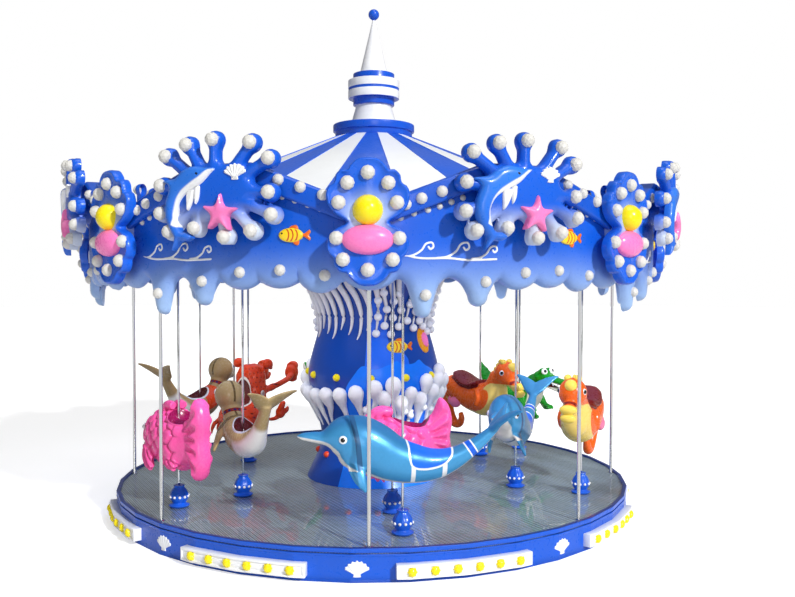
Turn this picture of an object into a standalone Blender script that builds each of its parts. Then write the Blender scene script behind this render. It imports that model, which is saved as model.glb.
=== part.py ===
"""An ocean carousel: a turning deck with twelve riding figures under a striped canopy.

Metres, +Z up, ground level at z = 0, the turning axis on the Z axis. Angles round
the carousel run from the front (-Y) towards +X.
"""

import math

import bmesh
import bpy
from mathutils import Matrix, Vector

# Driving dimensions
POST_CIRCLE = 2.70
DECK_TOP = 0.27
CEILING = 2.53
CONTACT_GAP = 0.0003
BEARING_GAP = 0.0005
POLE_SIDES = 10

# Skirt and base
SKIRT_SIDES = 36
SKIRT_CORNER = math.radians(-3)
SKIRT_RADIUS = 2.78
SKIRT_WALL = 0.03
SKIRT_TOP = 0.235
SKIRT_PARTS = 3
SKIRT_CUT = math.radians(32)
BOX_COUNT = 9
BOX_ANGLES = (math.radians(4.6), math.radians(29.4))
BOX_RADIUS = 2.85
BOX_HEIGHTS = (0.046, 0.162)
HUB_RADIUS = 0.42
SPINDLE_RADIUS = 0.12
SPINDLE_CLEARANCE = 0.003
BEAM_WIDTH = 0.08
BEAM_HEIGHT = 0.09

# Deck
DECK_UNDERSIDE = 0.22
DECK_INNER_EDGE = 2.69
RIM_UNDERSIDE = 0.242
LIP_TOP = 0.287
LIP_INNER = 2.738

# Posts and poles
POST_COUNT = 8
POST_RADIUS = 0.015
POLE_RADIUS = 0.0112
POLE_BELOW = 0.93
POLE_ABOVE = 1.55

# Canopy
CEILING_THICKNESS = 0.04
FRAME_WALL = 0.035
FRAME_SIDES = 40
FRIEZE_INNER = 2.93
FRIEZE_OUTER = 3.01
FRIEZE_UPPER = 3.03
RAIL_FACE = 3.10
RAIL_HEIGHT = 0.18
RAIL_LOW = 3.05
RAIL_HIGH = 3.41
RAIL_SLOPE = 1.18
SECTOR = 45.0
ROOF_EDGE = (2.92, 3.02)
ROOF_TOP = (0.43, 4.05)
ROOF_THICKNESS = 0.03
ROOF_SIDES = 40

# Crown of splashes
CROWN_ANGLE = 22.6
CROWN_RADIUS = 3.18
CROWN_HEIGHT = 3.18
CROWN_BODY = (0.36, 0.20)
CROWN_TIPS = (
    (0.508, -0.195), (0.486, -0.021), (0.486, 0.239), (0.335, 0.366), (0.011, 0.400),
    (-0.235, 0.371), (-0.447, 0.292), (-0.503, 0.060), (-0.508, -0.163), (-0.419, -0.312),
    (-0.162, -0.288), (0.112, -0.362), (0.341, -0.317),
)
FINGER_NECK = 0.040
FINGER_HEAD = 0.068

# Scallop shells
SHELL_FACE = 3.17
SHELL_WAIST = 2.925
SHELL_UP = (0.31, 0.50)
SHELL_DOWN = (0.31, 0.49)
SHELL_SPREAD = math.radians(68)
SHELL_LOBES = 5
BALL_PLACE = (3.19, 3.019)
BALL_RADIUS = 0.118
OVAL_PLACE = (3.17, 2.793)
OVAL_HALF = (0.20, 0.09, 0.117)

# Where each figure rides: name, angle in degrees, circle radius, seat height, colour
OUTER_CIRCLE = 2.338
INNER_CIRCLE = 1.647
FIGURES = (
    ("dolphin_1", "dolphin", 7, OUTER_CIRCLE, 1.15, (0.10, 0.43, 0.69)),
    ("seahorse_1", "seahorse", 67, OUTER_CIRCLE, 1.20, (0.87, 0.16, 0.02)),
    ("crocodile_1", "crocodile", 127, OUTER_CIRCLE, 1.14, (0.0, 0.26, 0.0)),
    ("crab_1", "crab", 187, OUTER_CIRCLE, 1.12, (0.58, 0.05, 0.01)),
    ("dolphin_2", "tan_dolphin", 247, OUTER_CIRCLE, 1.28, (0.30, 0.22, 0.10)),
    ("fish_1", "fish", 307, OUTER_CIRCLE, 1.13, (1.0, 0.14, 0.46)),
    ("fish_2", "fish", 7, INNER_CIRCLE, 1.11, (1.0, 0.14, 0.46)),
    ("dolphin_3", "dolphin", 67, INNER_CIRCLE, 1.14, (0.10, 0.43, 0.69)),
    ("seahorse_2", "seahorse", 127, INNER_CIRCLE, 1.16, (0.87, 0.16, 0.02)),
    ("crocodile_2", "crocodile", 187, INNER_CIRCLE, 1.18, (0.0, 0.26, 0.0)),
    ("crab_2", "crab", 247, INNER_CIRCLE, 1.12, (0.58, 0.05, 0.01)),
    ("dolphin_4", "tan_dolphin", 307, INNER_CIRCLE, 1.22, (0.30, 0.22, 0.10)),
)

# The scooped seats: middle and half sizes, from the pole at seat height
SEAT_HOLLOWS = {
    "fish": ((-0.185, 0, 0.115), (0.165, 0.155, 0.185)),
    "crab": ((-0.24, 0, -0.08), (0.16, 0.155, 0.15)),
    "tan_dolphin": ((-0.09, 0, -0.20), (0.13, 0.12, 0.13)),
}

# Fins in station form: along, out, up, half width, half height
PECTORAL_FIN = (
    (0.42, 0.11, -0.23, 0.03, 0.085), (0.39, 0.18, -0.33, 0.024, 0.075), (0.34, 0.24, -0.46, 0.016, 0.03),
)
FLUKE = (
    (-0.79, 0, 0.01, 0.05, 0.04), (-0.865, 0.06, 0.10, 0.075, 0.024), (-0.94, 0.16, 0.17, 0.05, 0.018),
    (-0.995, 0.25, 0.21, 0.012, 0.012),
)
TAN_DOLPHIN_TURN = math.radians(-7)

ROYAL_BLUE = (0.02, 0.13, 0.79)
WHITE = (0.88, 0.88, 0.86)
STEEL = (0.60, 0.61, 0.62)
DECK_GREY = (0.16, 0.20, 0.23)


def clear_scene():
    for obj in list(bpy.data.objects):
        bpy.data.objects.remove(obj, do_unlink=True)


def material(name, colour, roughness=0.35, metallic=0.0):
    found = bpy.data.materials.get(name)
    if found:
        return found
    made = bpy.data.materials.new(name)
    made.use_nodes = True
    shader = made.node_tree.nodes["Principled BSDF"]
    shader.inputs["Base Color"].default_value = (*colour, 1)
    shader.inputs["Roughness"].default_value = roughness
    shader.inputs["Metallic"].default_value = metallic
    return made


def place(angle, radius=0.0, height=0.0):
    """The point at this angle from the front, in radians, on a circle about the axis."""
    return Vector((radius * math.sin(angle), -radius * math.cos(angle), height))


def mesh_from(bm, name):
    bmesh.ops.recalc_face_normals(bm, faces=bm.faces)
    mesh = bpy.data.meshes.new(name)
    bm.to_mesh(mesh)
    bm.free()
    return mesh


def add_object(name, mesh, look, turn=0.0, location=(0, 0, 0), smooth=35):
    obj = bpy.data.objects.new(name, mesh)
    bpy.context.scene.collection.objects.link(obj)
    obj.location = location
    obj.rotation_euler.z = turn
    mesh.materials.clear()
    mesh.materials.append(look)
    mesh.shade_smooth()
    mesh.set_sharp_from_angle(angle=math.radians(smooth))
    return obj


def lathe(profile, sides, closed=False, start=0.0):
    """A solid turned about Z from (radius, height) points; a closed profile makes a ring."""
    bm = bmesh.new()
    verts = [bm.verts.new(place(start, radius, height)) for radius, height in profile]
    pairs = list(zip(verts, verts[1:])) + ([(verts[-1], verts[0])] if closed else [])
    edges = [bm.edges.new(pair) for pair in pairs]
    bmesh.ops.spin(bm, geom=verts + edges, axis=(0, 0, 1), cent=(0, 0, 0),
                   angle=math.tau, steps=sides, use_merge=True)
    bmesh.ops.remove_doubles(bm, verts=bm.verts, dist=1e-5)
    return bm


def block(low, high):
    """A box between two corners."""
    bm = bmesh.new()
    bmesh.ops.create_cube(bm, size=1)
    low, high = Vector(low), Vector(high)
    for vert in bm.verts:
        vert.co = Vector([lo + (part + 0.5) * (hi - lo) for lo, hi, part in zip(low, high, vert.co)])
    return bm


def round_bar(radius, low, high, sides=POLE_SIDES):
    return lathe([(0, low), (radius, low), (radius, high), (0, high)], sides)


def guide_radius(radius, gap, sides=POLE_SIDES):
    """The corner radius of a many-sided hole that clears a round bar however it turns."""
    return (radius + gap) / math.cos(math.pi / sides)


def arc_wall(angles, inner, outer, low, high):
    """A wall that follows the given angles; inner and outer give a radius for each angle."""
    bm = bmesh.new()
    loops = []
    for angle in angles:
        corners = [(inner(angle), low), (outer(angle), low), (outer(angle), high), (inner(angle), high)]
        loops.append([bm.verts.new(place(angle, radius, height)) for radius, height in corners])
    for first, second in zip(loops, loops[1:]):
        for i in range(4):
            bm.faces.new((first[i], first[(i + 1) % 4], second[(i + 1) % 4], second[i]))
    bm.faces.new(loops[0])
    bm.faces.new(loops[-1])
    return bm


def ball(centre, radii, across=10, up=6):
    bm = bmesh.new()
    bmesh.ops.create_uvsphere(bm, u_segments=across, v_segments=up, radius=1)
    bmesh.ops.scale(bm, vec=radii, verts=bm.verts)
    bmesh.ops.translate(bm, vec=centre, verts=bm.verts)
    return bm


def loft(stations, sides=8):
    """A closed body through (x, y, z, half width, half height) stations along a path."""
    bm = bmesh.new()
    centres = [Vector(station[:3]) for station in stations]
    rings = []
    for i, station in enumerate(stations):
        ahead = centres[min(i + 1, len(centres) - 1)] - centres[max(i - 1, 0)]
        ahead.normalize()
        across = ahead.cross(Vector((0, 0, 1)))
        if across.length < 0.2:
            across = Vector((0, 1, 0))
        across.normalize()
        rise = across.cross(ahead)
        ring = []
        for k in range(sides):
            turn = math.tau * k / sides
            point = centres[i] + across * station[3] * math.cos(turn) + rise * station[4] * math.sin(turn)
            ring.append(bm.verts.new(point))
        rings.append(ring)
    for first, second in zip(rings, rings[1:]):
        for k in range(sides):
            bm.faces.new((first[k], first[(k + 1) % sides], second[(k + 1) % sides], second[k]))
    bm.faces.new(rings[0])
    bm.faces.new(rings[-1])
    return bm


def repeated(bm, centres):
    """Copies of one shape that stand clear of each other."""
    mesh = mesh_from(bm, "repeated")
    whole = bmesh.new()
    for centre in centres:
        known = len(whole.verts)
        whole.from_mesh(mesh)
        whole.verts.ensure_lookup_table()
        bmesh.ops.translate(whole, vec=centre, verts=whole.verts[known:])
    bpy.data.meshes.remove(mesh)
    return whole


def combined(name, parts, cuts=()):
    """One mesh from parts joined by union, less the cuts."""
    helpers = []
    for i, bm in enumerate([*parts, *cuts]):
        helper = bpy.data.objects.new(f"{name}_piece_{i}", mesh_from(bm, f"{name}_piece_{i}"))
        bpy.context.scene.collection.objects.link(helper)
        helper.hide_render = True
        helper.display_type = "WIRE"
        helpers.append(helper)
    first = helpers[0]
    for i, helper in enumerate(helpers[1:], start=1):
        step = first.modifiers.new(helper.name, "BOOLEAN")
        step.object = helper
        step.solver = "EXACT"
        step.operation = "UNION" if i < len(parts) else "DIFFERENCE"
    graph = bpy.context.evaluated_depsgraph_get()
    mesh = bpy.data.meshes.new_from_object(first.evaluated_get(graph))
    mesh.name = name
    for helper in helpers:
        bpy.data.objects.remove(helper, do_unlink=True)
    return mesh


def flat_radius(corner_radius):
    """The radius of the skirt's flat sides at an angle, for one radius at the corners."""
    half = math.pi / SKIRT_SIDES

    def radius(angle):
        off = (angle - SKIRT_CORNER) % (2 * half) - half
        return corner_radius * math.cos(half) / math.cos(off)

    return radius


def with_corners(start, end):
    """The angles from start to end, with every corner of the skirt between them."""
    step = math.tau / SKIRT_SIDES
    corners = [SKIRT_CORNER + k * step for k in range(-SKIRT_SIDES, 2 * SKIRT_SIDES)]
    return [start, *[angle for angle in corners if start + 1e-4 < angle < end - 1e-4], end]


def build_base():
    """The standing hub with its spindle and the radial beams that carry the skirt."""
    top = DECK_UNDERSIDE - BEARING_GAP
    hub = lathe([(0, 0), (HUB_RADIUS, 0), (HUB_RADIUS, top), (SPINDLE_RADIUS, top),
                 (SPINDLE_RADIUS, DECK_TOP), (0, DECK_TOP)], 24)
    reach = (SKIRT_RADIUS - SKIRT_WALL) * math.cos(math.pi / SKIRT_SIDES) - CONTACT_GAP
    beams = []
    for k in range(BOX_COUNT):
        beam = block((-BEAM_WIDTH / 2, -reach, 0), (BEAM_WIDTH / 2, -0.2, BEAM_HEIGHT))
        turn = SKIRT_CORNER + math.pi / SKIRT_SIDES + k * math.tau / BOX_COUNT
        bmesh.ops.rotate(beam, cent=(0, 0, 0), matrix=Matrix.Rotation(turn, 3, "Z"), verts=beam.verts)
        beams.append(beam)
    add_object("base_frame", combined("base_frame", [hub, *beams]), material("base_steel", STEEL, 0.5, 0.8))


def build_skirt():
    """Three parts of the fixed skirt, each with three light boxes."""
    span = math.tau / SKIRT_PARTS
    blue = material("skirt_blue", ROYAL_BLUE)
    for part in range(SKIRT_PARTS):
        start = SKIRT_CUT + (part - 1) * span
        trim = CONTACT_GAP / 2 / SKIRT_RADIUS
        wall = arc_wall(with_corners(start + trim, start + span - trim),
                        flat_radius(SKIRT_RADIUS - SKIRT_WALL), flat_radius(SKIRT_RADIUS), 0, SKIRT_TOP)
        boxes = []
        for k in range(BOX_COUNT // SKIRT_PARTS):
            shift = start - SKIRT_CUT + (k - 2) * math.tau / BOX_COUNT + span
            angles = with_corners(BOX_ANGLES[0] + shift, BOX_ANGLES[1] + shift)
            boxes.append(arc_wall(angles, flat_radius(SKIRT_RADIUS - SKIRT_WALL / 2),
                                  flat_radius(BOX_RADIUS), *BOX_HEIGHTS))
        name = f"skirt_{part + 1}"
        add_object(name, combined(name, [wall, *boxes]), blue)


def pedestal_profile():
    foot = DECK_TOP - 0.013
    heights = ((0.094, 0.006), (0.060, 0.036), (0.086, 0.085), (0.082, 0.125), (0.045, 0.188), (0.048, 0.212))
    outer = [(radius, DECK_TOP + rise) for radius, rise in heights]
    return [(0.0, foot), (0.094, foot), *outer, (0.0, outer[-1][1])]


def build_deck():
    """The turning deck with its blue rim and a pedestal round each pole."""
    bore = SPINDLE_RADIUS + SPINDLE_CLEARANCE
    plate = lathe([(bore, DECK_UNDERSIDE), (DECK_INNER_EDGE, DECK_UNDERSIDE), (DECK_INNER_EDGE, RIM_UNDERSIDE),
                   (SKIRT_RADIUS, RIM_UNDERSIDE), (SKIRT_RADIUS, LIP_TOP), (LIP_INNER, LIP_TOP),
                   (LIP_INNER, DECK_TOP), (bore, DECK_TOP)], SKIRT_SIDES, closed=True, start=SKIRT_CORNER)
    guide = guide_radius(POLE_RADIUS, BEARING_GAP)
    centres = [place(math.radians(degrees), circle) for _, _, degrees, circle, _, _ in FIGURES]
    pedestals = repeated(lathe(pedestal_profile(), POLE_SIDES), centres)
    holes = repeated(round_bar(guide, DECK_UNDERSIDE - 0.05, DECK_TOP + 0.3), centres)
    add_object("deck", combined("deck", [plate, pedestals], [holes]), material("deck_plate", DECK_GREY, 0.4, 0.6))


def build_posts():
    steel = material("polished_steel", STEEL, 0.15, 1.0)
    mesh = mesh_from(round_bar(POST_RADIUS, DECK_TOP + CONTACT_GAP, CEILING - CONTACT_GAP), "post")
    for k in range(POST_COUNT):
        angle = k * math.tau / POST_COUNT
        add_object(f"post_{k + 1}", mesh, steel, angle, place(angle, POST_CIRCLE))


def build_column():
    """The vase-shaped centre column from the deck to the ceiling."""
    profile = [(0.0, 0.0), (0.745, 0.0), (0.70, 0.10), (0.62, 0.28), (0.585, 0.42), (0.60, 0.56),
               (0.66, 0.76), (0.71, 0.97), (0.734, 1.12), (0.72, 1.26), (0.675, 1.44), (0.630, 1.60),
               (0.618, 1.70), (0.64, 1.90), (0.70, 2.10), (0.78, 2.26), (0.0, 2.26)]
    bottom, top = DECK_TOP + CONTACT_GAP, CEILING - CONTACT_GAP
    scale = (top - bottom) / profile[-1][1]
    points = [(radius, bottom + rise * scale) for radius, rise in profile]
    add_object("column", mesh_from(lathe(points, 24), "column"), material("column_blue", (0.01, 0.09, 0.42)))


def build_canopy_frame():
    """The ceiling with a guide for each pole, and the ring that carries the frieze and roof."""
    outer = FRIEZE_INNER - 0.001
    top = ROOF_EDGE[1] - ROOF_THICKNESS - CONTACT_GAP
    floor = CEILING + CEILING_THICKNESS
    shape = lathe([(0, CEILING), (outer, CEILING), (outer, top), (outer - FRAME_WALL, top),
                   (outer - FRAME_WALL, floor), (0, floor)], FRAME_SIDES)
    guides = []
    for _, _, degrees, circle, _, _ in FIGURES:
        hole = round_bar(guide_radius(POLE_RADIUS, BEARING_GAP), CEILING - 0.05, floor + 0.05)
        bmesh.ops.translate(hole, vec=place(math.radians(degrees), circle), verts=hole.verts)
        guides.append(hole)
    add_object("canopy_frame", combined("canopy_frame", [shape], guides), material("canopy_blue", ROYAL_BLUE))


def build_roof():
    edge, top = Vector(ROOF_EDGE), Vector(ROOF_TOP)
    drop = Vector((0, ROOF_THICKNESS))
    profile = [(0, top.y - drop.y), tuple(top - drop), tuple(edge - drop), tuple(edge), tuple(top), (0, top.y)]
    add_object("roof", mesh_from(lathe(profile, ROOF_SIDES), "roof"), material("roof_blue", ROYAL_BLUE))


def build_spire():
    """The collar, drum, cone and ball on the roof."""
    base = ROOF_TOP[1] + CONTACT_GAP
    profile = [(0, base), (0.43, base), (0.43, 4.11), (0.454, 4.115), (0.454, 4.19), (0.258, 4.19),
               (0.196, 4.41), (0.23, 4.41), (0.23, 4.483), (0.286, 4.483), (0.286, 4.687), (0.23, 4.687),
               (0.23, 4.76), (0.157, 4.76), (0.015, 5.36)]
    ball_radius, ball_height = 0.06, 5.424
    for k in range(5):
        turn = math.radians(-70 + 40 * k)
        profile.append((ball_radius * max(math.cos(turn), 0), ball_height + ball_radius * math.sin(turn)))
    profile[-1] = (0, ball_height + ball_radius)
    add_object("spire", mesh_from(lathe(profile, 20), "spire"), material("spire_white", WHITE))


def drip_edge():
    """(angle in degrees, height) along the lower edge of one frieze sector."""
    lobes = ((-10.8, -4.0, 2.455, 2.377, 0.7), (-4.0, 4.2, 2.50, 2.47, 0.7), (4.2, 12.6, 2.50, 2.179, 1.5),
             (12.6, 21.2, 2.48, 2.266, 1.5), (21.2, 27.9, 2.47, 2.400, 0.7), (27.9, 34.2, 2.46, 2.414, 0.7))
    points = []
    for start, end, cusp, tip, power in lobes:
        steps = 6 if power > 1 else 3
        for k in range(steps):
            part = k / steps
            points.append((start + (end - start) * part, cusp - (cusp - tip) * math.sin(math.pi * part) ** power))
    points.append((lobes[-1][1], lobes[0][2]))
    return points


def rail_top(degrees):
    """The top of the rail: low behind each shell and high behind each crown."""
    away = abs((degrees + SECTOR / 2) % SECTOR - SECTOR / 2)
    return min(RAIL_LOW + RAIL_SLOPE * math.radians(away), RAIL_HIGH)


def frieze_wall():
    """One curved panel with drips below and a raised rail along its top."""
    bm = bmesh.new()
    trim = math.degrees(CONTACT_GAP / 2 / FRIEZE_INNER)
    points = drip_edge()
    points[0] = (points[0][0] + trim, points[0][1])
    points[-1] = (points[-1][0] - trim, points[-1][1])
    loops = []
    for degrees, low in points:
        high = rail_top(degrees)
        rail = high - RAIL_HEIGHT
        section = [(FRIEZE_INNER, low), (FRIEZE_OUTER, low), (FRIEZE_UPPER, rail - 0.01), (RAIL_FACE, rail),
                   (RAIL_FACE, high), (FRIEZE_INNER, high)]
        loops.append([bm.verts.new(place(math.radians(degrees), radius, height)) for radius, height in section])
    count = len(loops[0])
    for first, second in zip(loops, loops[1:]):
        for i in range(count):
            bm.faces.new((first[i], first[(i + 1) % count], second[(i + 1) % count], second[i]))
    bm.faces.new(loops[0])
    bm.faces.new(loops[-1])
    return bm


def star_plate(outline, degrees, height, back, face):
    """A plate bent round the canopy, its outline seen from its own middle all the way round."""
    bm = bmesh.new()
    middle = math.radians(degrees)

    def layer(radius):
        centre = bm.verts.new(place(middle, radius, height))
        rim = [bm.verts.new(place(middle + u / face, radius, height + v)) for u, v in outline]
        for k, vert in enumerate(rim):
            bm.faces.new((centre, vert, rim[(k + 1) % len(rim)]))
        return rim

    back_rim, face_rim = layer(back), layer(face)
    for k in range(len(outline)):
        after = (k + 1) % len(outline)
        bm.faces.new((back_rim[k], back_rim[after], face_rim[after], face_rim[k]))
    return bm


def crown_outline():
    """Fingers that end in round heads, set round an oval body."""
    outline = []
    half_long, half_high = CROWN_BODY
    tips = [Vector(tip) for tip in CROWN_TIPS]
    for i, tip in enumerate(tips):
        ahead = tip.normalized()
        side = Vector((-ahead.y, ahead.x))
        neck = tip - ahead * FINGER_HEAD * 1.3
        outline.append(tuple(neck - side * FINGER_NECK))
        for turn in (-65, 65):
            spin = math.radians(turn)
            head = tip + (ahead * math.cos(spin) + side * math.sin(spin)) * FINGER_HEAD
            outline.append(tuple(head))
        outline.append(tuple(neck + side * FINGER_NECK))
        between = (ahead + tips[(i + 1) % len(tips)].normalized()).normalized()
        reach = 1 / math.hypot(between.x / half_long, between.y / half_high)
        outline.append(tuple(between * reach))
    return outline


def shell_outline():
    """Two scalloped fans that meet at a waist."""
    outline = []
    steps = SHELL_LOBES * 2
    for (half_wide, tall), sign in ((SHELL_UP, 1), (SHELL_DOWN, -1)):
        for k in range(steps + 1):
            turn = SHELL_SPREAD * (1 - 2 * k / steps)
            ripple = 1.0 if k % 2 else 0.93
            u = half_wide * 1.08 * math.sin(turn) * ripple
            v = sign * tall * math.cos(turn) ** 0.7 * ripple
            outline.append((u * sign, v))
    return outline


def build_frieze():
    """Eight panels, each with its scallop shell and its crown of splashes."""
    back = FRIEZE_OUTER - 0.03
    shell = star_plate(shell_outline(), 0, SHELL_WAIST, back, SHELL_FACE)
    crown = star_plate(crown_outline(), CROWN_ANGLE, CROWN_HEIGHT, back, CROWN_RADIUS)
    yellow = ball(place(0, *BALL_PLACE), (BALL_RADIUS, BALL_RADIUS, BALL_RADIUS), 8, 5)
    pink = ball(place(0, *OVAL_PLACE), OVAL_HALF, 8, 5)
    mesh = combined("frieze", [frieze_wall(), crown, shell, yellow, pink])
    blue = material("frieze_blue", ROYAL_BLUE)
    for k in range(POST_COUNT):
        add_object(f"frieze_{k + 1}", mesh, blue, math.radians(SECTOR * k))


def dolphin_parts():
    body = [(0.915, 0, -0.005, 0.012, 0.012), (0.78, 0, -0.015, 0.048, 0.045), (0.69, 0, -0.02, 0.072, 0.062),
            (0.60, 0, -0.017, 0.135, 0.138), (0.466, 0, -0.038, 0.19, 0.217), (0.31, 0, -0.103, 0.212, 0.236),
            (0.12, 0, -0.204, 0.198, 0.207), (-0.10, 0, -0.266, 0.168, 0.172), (-0.30, 0, -0.272, 0.133, 0.134),
            (-0.50, 0, -0.206, 0.095, 0.092), (-0.70, 0, -0.075, 0.061, 0.058), (-0.84, 0, 0.05, 0.048, 0.034)]
    return [loft(body, 10), *fins(PECTORAL_FIN), *fins(FLUKE)]


def fins(stations):
    """A pair of flat fins, one to each side."""
    return [loft([(x, side * y, z, wide, high) for x, y, z, wide, high in stations], 6) for side in (-1, 1)]


def moved(stations, ahead, up):
    return [(x + ahead, y, z + up, wide, high) for x, y, z, wide, high in stations]


def tan_dolphin_parts():
    """A round head on a narrow neck, and a deep body that turns up to the flukes."""
    body = [(0.42, 0, 0.05, 0.08, 0.08), (0.30, 0, -0.17, 0.10, 0.10), (0.20, 0, -0.29, 0.135, 0.14),
            (0.06, 0, -0.36, 0.158, 0.165), (-0.12, 0, -0.37, 0.163, 0.165), (-0.26, 0, -0.335, 0.145, 0.15),
            (-0.40, 0, -0.22, 0.105, 0.105), (-0.52, 0, -0.10, 0.073, 0.07), (-0.63, 0, 0.03, 0.052, 0.045)]
    muzzle = [(0.45, 0, 0.01, 0.12, 0.11), (0.54, 0, -0.03, 0.085, 0.07), (0.60, 0, -0.05, 0.04, 0.035)]
    parts = [loft(body, 10), ball((0.385, 0, 0.03), (0.155, 0.155, 0.155)), loft(muzzle, 8)]
    parts += [*fins(moved(PECTORAL_FIN, -0.14, -0.01)), *fins(moved(FLUKE, 0.21, -0.01))]
    for bm in parts:
        bmesh.ops.rotate(bm, verts=bm.verts, matrix=Matrix.Rotation(TAN_DOLPHIN_TURN, 3, "Z"))
    return parts


def fish_parts():
    body = [(0.505, 0, -0.19, 0.06, 0.08), (0.44, 0, -0.195, 0.16, 0.20), (0.27, 0, -0.20, 0.235, 0.28),
            (0.06, 0, -0.20, 0.25, 0.29), (-0.18, 0, -0.20, 0.22, 0.26), (-0.34, 0, -0.19, 0.13, 0.20),
            (-0.45, 0, -0.17, 0.06, 0.12)]
    tail = [(-0.475, 0, -0.52, 0.03, 0.03), (-0.50, 0, -0.38, 0.088, 0.075), (-0.47, 0, -0.20, 0.088, 0.12),
            (-0.47, 0, 0.0, 0.088, 0.10), (-0.49, 0, 0.13, 0.08, 0.07), (-0.465, 0, 0.24, 0.03, 0.03)]
    crest = [(0.22, 0, -0.02, 0.09, 0.07), (0.14, 0, 0.10, 0.10, 0.055), (0.0, 0, 0.12, 0.07, 0.035)]
    side_fin = [(0.36, 0.13, -0.26, 0.035, 0.085), (0.26, 0.21, -0.38, 0.036, 0.10), (0.12, 0.225, -0.54, 0.02, 0.03)]
    return [loft(body, 10), loft(tail, 8), loft(crest, 8), *fins(side_fin)]


def seahorse_parts():
    body = [(0.37, 0, 0.18, 0.10, 0.11), (0.30, 0, 0.02, 0.125, 0.135), (0.24, 0, -0.09, 0.165, 0.185),
            (0.08, 0, -0.185, 0.19, 0.20), (-0.16, 0, -0.165, 0.19, 0.17), (-0.36, 0, -0.085, 0.177, 0.16),
            (-0.54, 0, -0.105, 0.135, 0.143), (-0.635, 0, -0.25, 0.088, 0.09), (-0.59, 0, -0.42, 0.07, 0.07),
            (-0.48, 0, -0.55, 0.058, 0.058), (-0.37, 0, -0.535, 0.048, 0.048), (-0.345, 0, -0.46, 0.036, 0.036)]
    snout = [(0.50, 0, 0.10, 0.085, 0.075), (0.60, 0, 0.04, 0.062, 0.06), (0.71, 0, -0.01, 0.055, 0.07)]
    parts = [loft(body, 10), ball((0.455, 0, 0.165), (0.15, 0.14, 0.15)), loft(snout, 8),
             ball((0.325, 0, -0.14), (0.105, 0.125, 0.165))]
    for side in (-1, 1):
        parts.append(ball((0.515, side * 0.07, 0.262), (0.052, 0.052, 0.052), 8, 5))
        parts.append(ball((-0.30, side * 0.125, -0.235), (0.095, 0.055, 0.065), 8, 5))
    return parts


def crocodile_parts():
    body = [(0.36, 0, 0.09, 0.10, 0.10), (0.27, 0, -0.02, 0.125, 0.14), (0.18, 0, -0.14, 0.165, 0.18),
            (0.04, 0, -0.24, 0.198, 0.19), (-0.12, 0, -0.26, 0.205, 0.185), (-0.30, 0, -0.23, 0.175, 0.157),
            (-0.48, 0, -0.12, 0.12, 0.113), (-0.63, 0, 0.03, 0.075, 0.075), (-0.70, 0, 0.14, 0.05, 0.05),
            (-0.735, 0, 0.25, 0.016, 0.018)]
    upper_jaw = [(0.36, 0, 0.09, 0.11, 0.10), (0.52, 0, 0.095, 0.092, 0.05), (0.74, 0, 0.055, 0.07, 0.04),
                 (0.82, 0, 0.04, 0.03, 0.02)]
    lower_jaw = [(0.36, 0, 0.02, 0.095, 0.05), (0.52, 0, -0.002, 0.083, 0.027), (0.75, 0, -0.058, 0.05, 0.02)]
    parts = [loft(body, 10), loft(upper_jaw, 8), loft(lower_jaw, 8)]
    for side in (-1, 1):
        parts.append(ball((0.455, side * 0.055, 0.16), (0.058, 0.046, 0.055), 8, 5))
    arm = [(0.18, 0.13, -0.16, 0.055, 0.055), (0.26, 0.19, -0.27, 0.045, 0.045), (0.36, 0.17, -0.36, 0.042, 0.042),
           (0.46, 0.14, -0.37, 0.045, 0.03)]
    leg = [(-0.10, 0.12, -0.30, 0.07, 0.07), (0.0, 0.155, -0.40, 0.05, 0.05), (0.12, 0.155, -0.475, 0.045, 0.026)]
    return [*parts, *fins(arm), *fins(leg)]


def crab_parts():
    dome = [(0.06, 0, 0.34, 0.04, 0.04), (0.06, 0, 0.29, 0.125, 0.13), (0.06, 0, 0.18, 0.175, 0.167),
            (0.055, 0, 0.0, 0.195, 0.178), (0.02, 0, -0.26, 0.185, 0.19), (0.0, 0, -0.38, 0.10, 0.12)]
    shell = [(0.12, 0, -0.24, 0.16, 0.13), (-0.02, 0, -0.25, 0.23, 0.19), (-0.20, 0, -0.27, 0.25, 0.19),
             (-0.35, 0, -0.29, 0.19, 0.15), (-0.45, 0, -0.30, 0.08, 0.08)]
    stalk = [(0.09, 0.10, 0.22, 0.026, 0.026), (0.11, 0.20, 0.30, 0.024, 0.024)]
    arm = [(0.13, 0.15, 0.0, 0.045, 0.045), (0.30, 0.225, 0.05, 0.036, 0.036), (0.48, 0.262, 0.10, 0.036, 0.036),
           (0.64, 0.235, 0.15, 0.04, 0.04)]
    low_arm = [(0.0, 0.15, -0.29, 0.04, 0.04), (0.03, 0.26, -0.335, 0.026, 0.026), (0.07, 0.34, -0.31, 0.03, 0.03)]
    low_claw = [(0.065, 0.32, -0.32, 0.03, 0.03), (0.075, 0.365, -0.275, 0.045, 0.055), (0.07, 0.42, -0.21, 0.02, 0.02)]
    parts = [loft(dome, 10), loft(shell, 10), *fins(stalk), *fins(arm), *fins(low_arm), *fins(low_claw)]
    for side in (-1, 1):
        parts.append(ball((0.11, side * 0.205, 0.322), (0.062, 0.062, 0.062), 8, 5))
        parts.append(ball((0.705, side * 0.205, 0.17), (0.11, 0.072, 0.095), 8, 5))
    return parts


MAKERS = {"dolphin": dolphin_parts, "tan_dolphin": tan_dolphin_parts, "fish": fish_parts,
          "seahorse": seahorse_parts, "crocodile": crocodile_parts, "crab": crab_parts}


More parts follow.
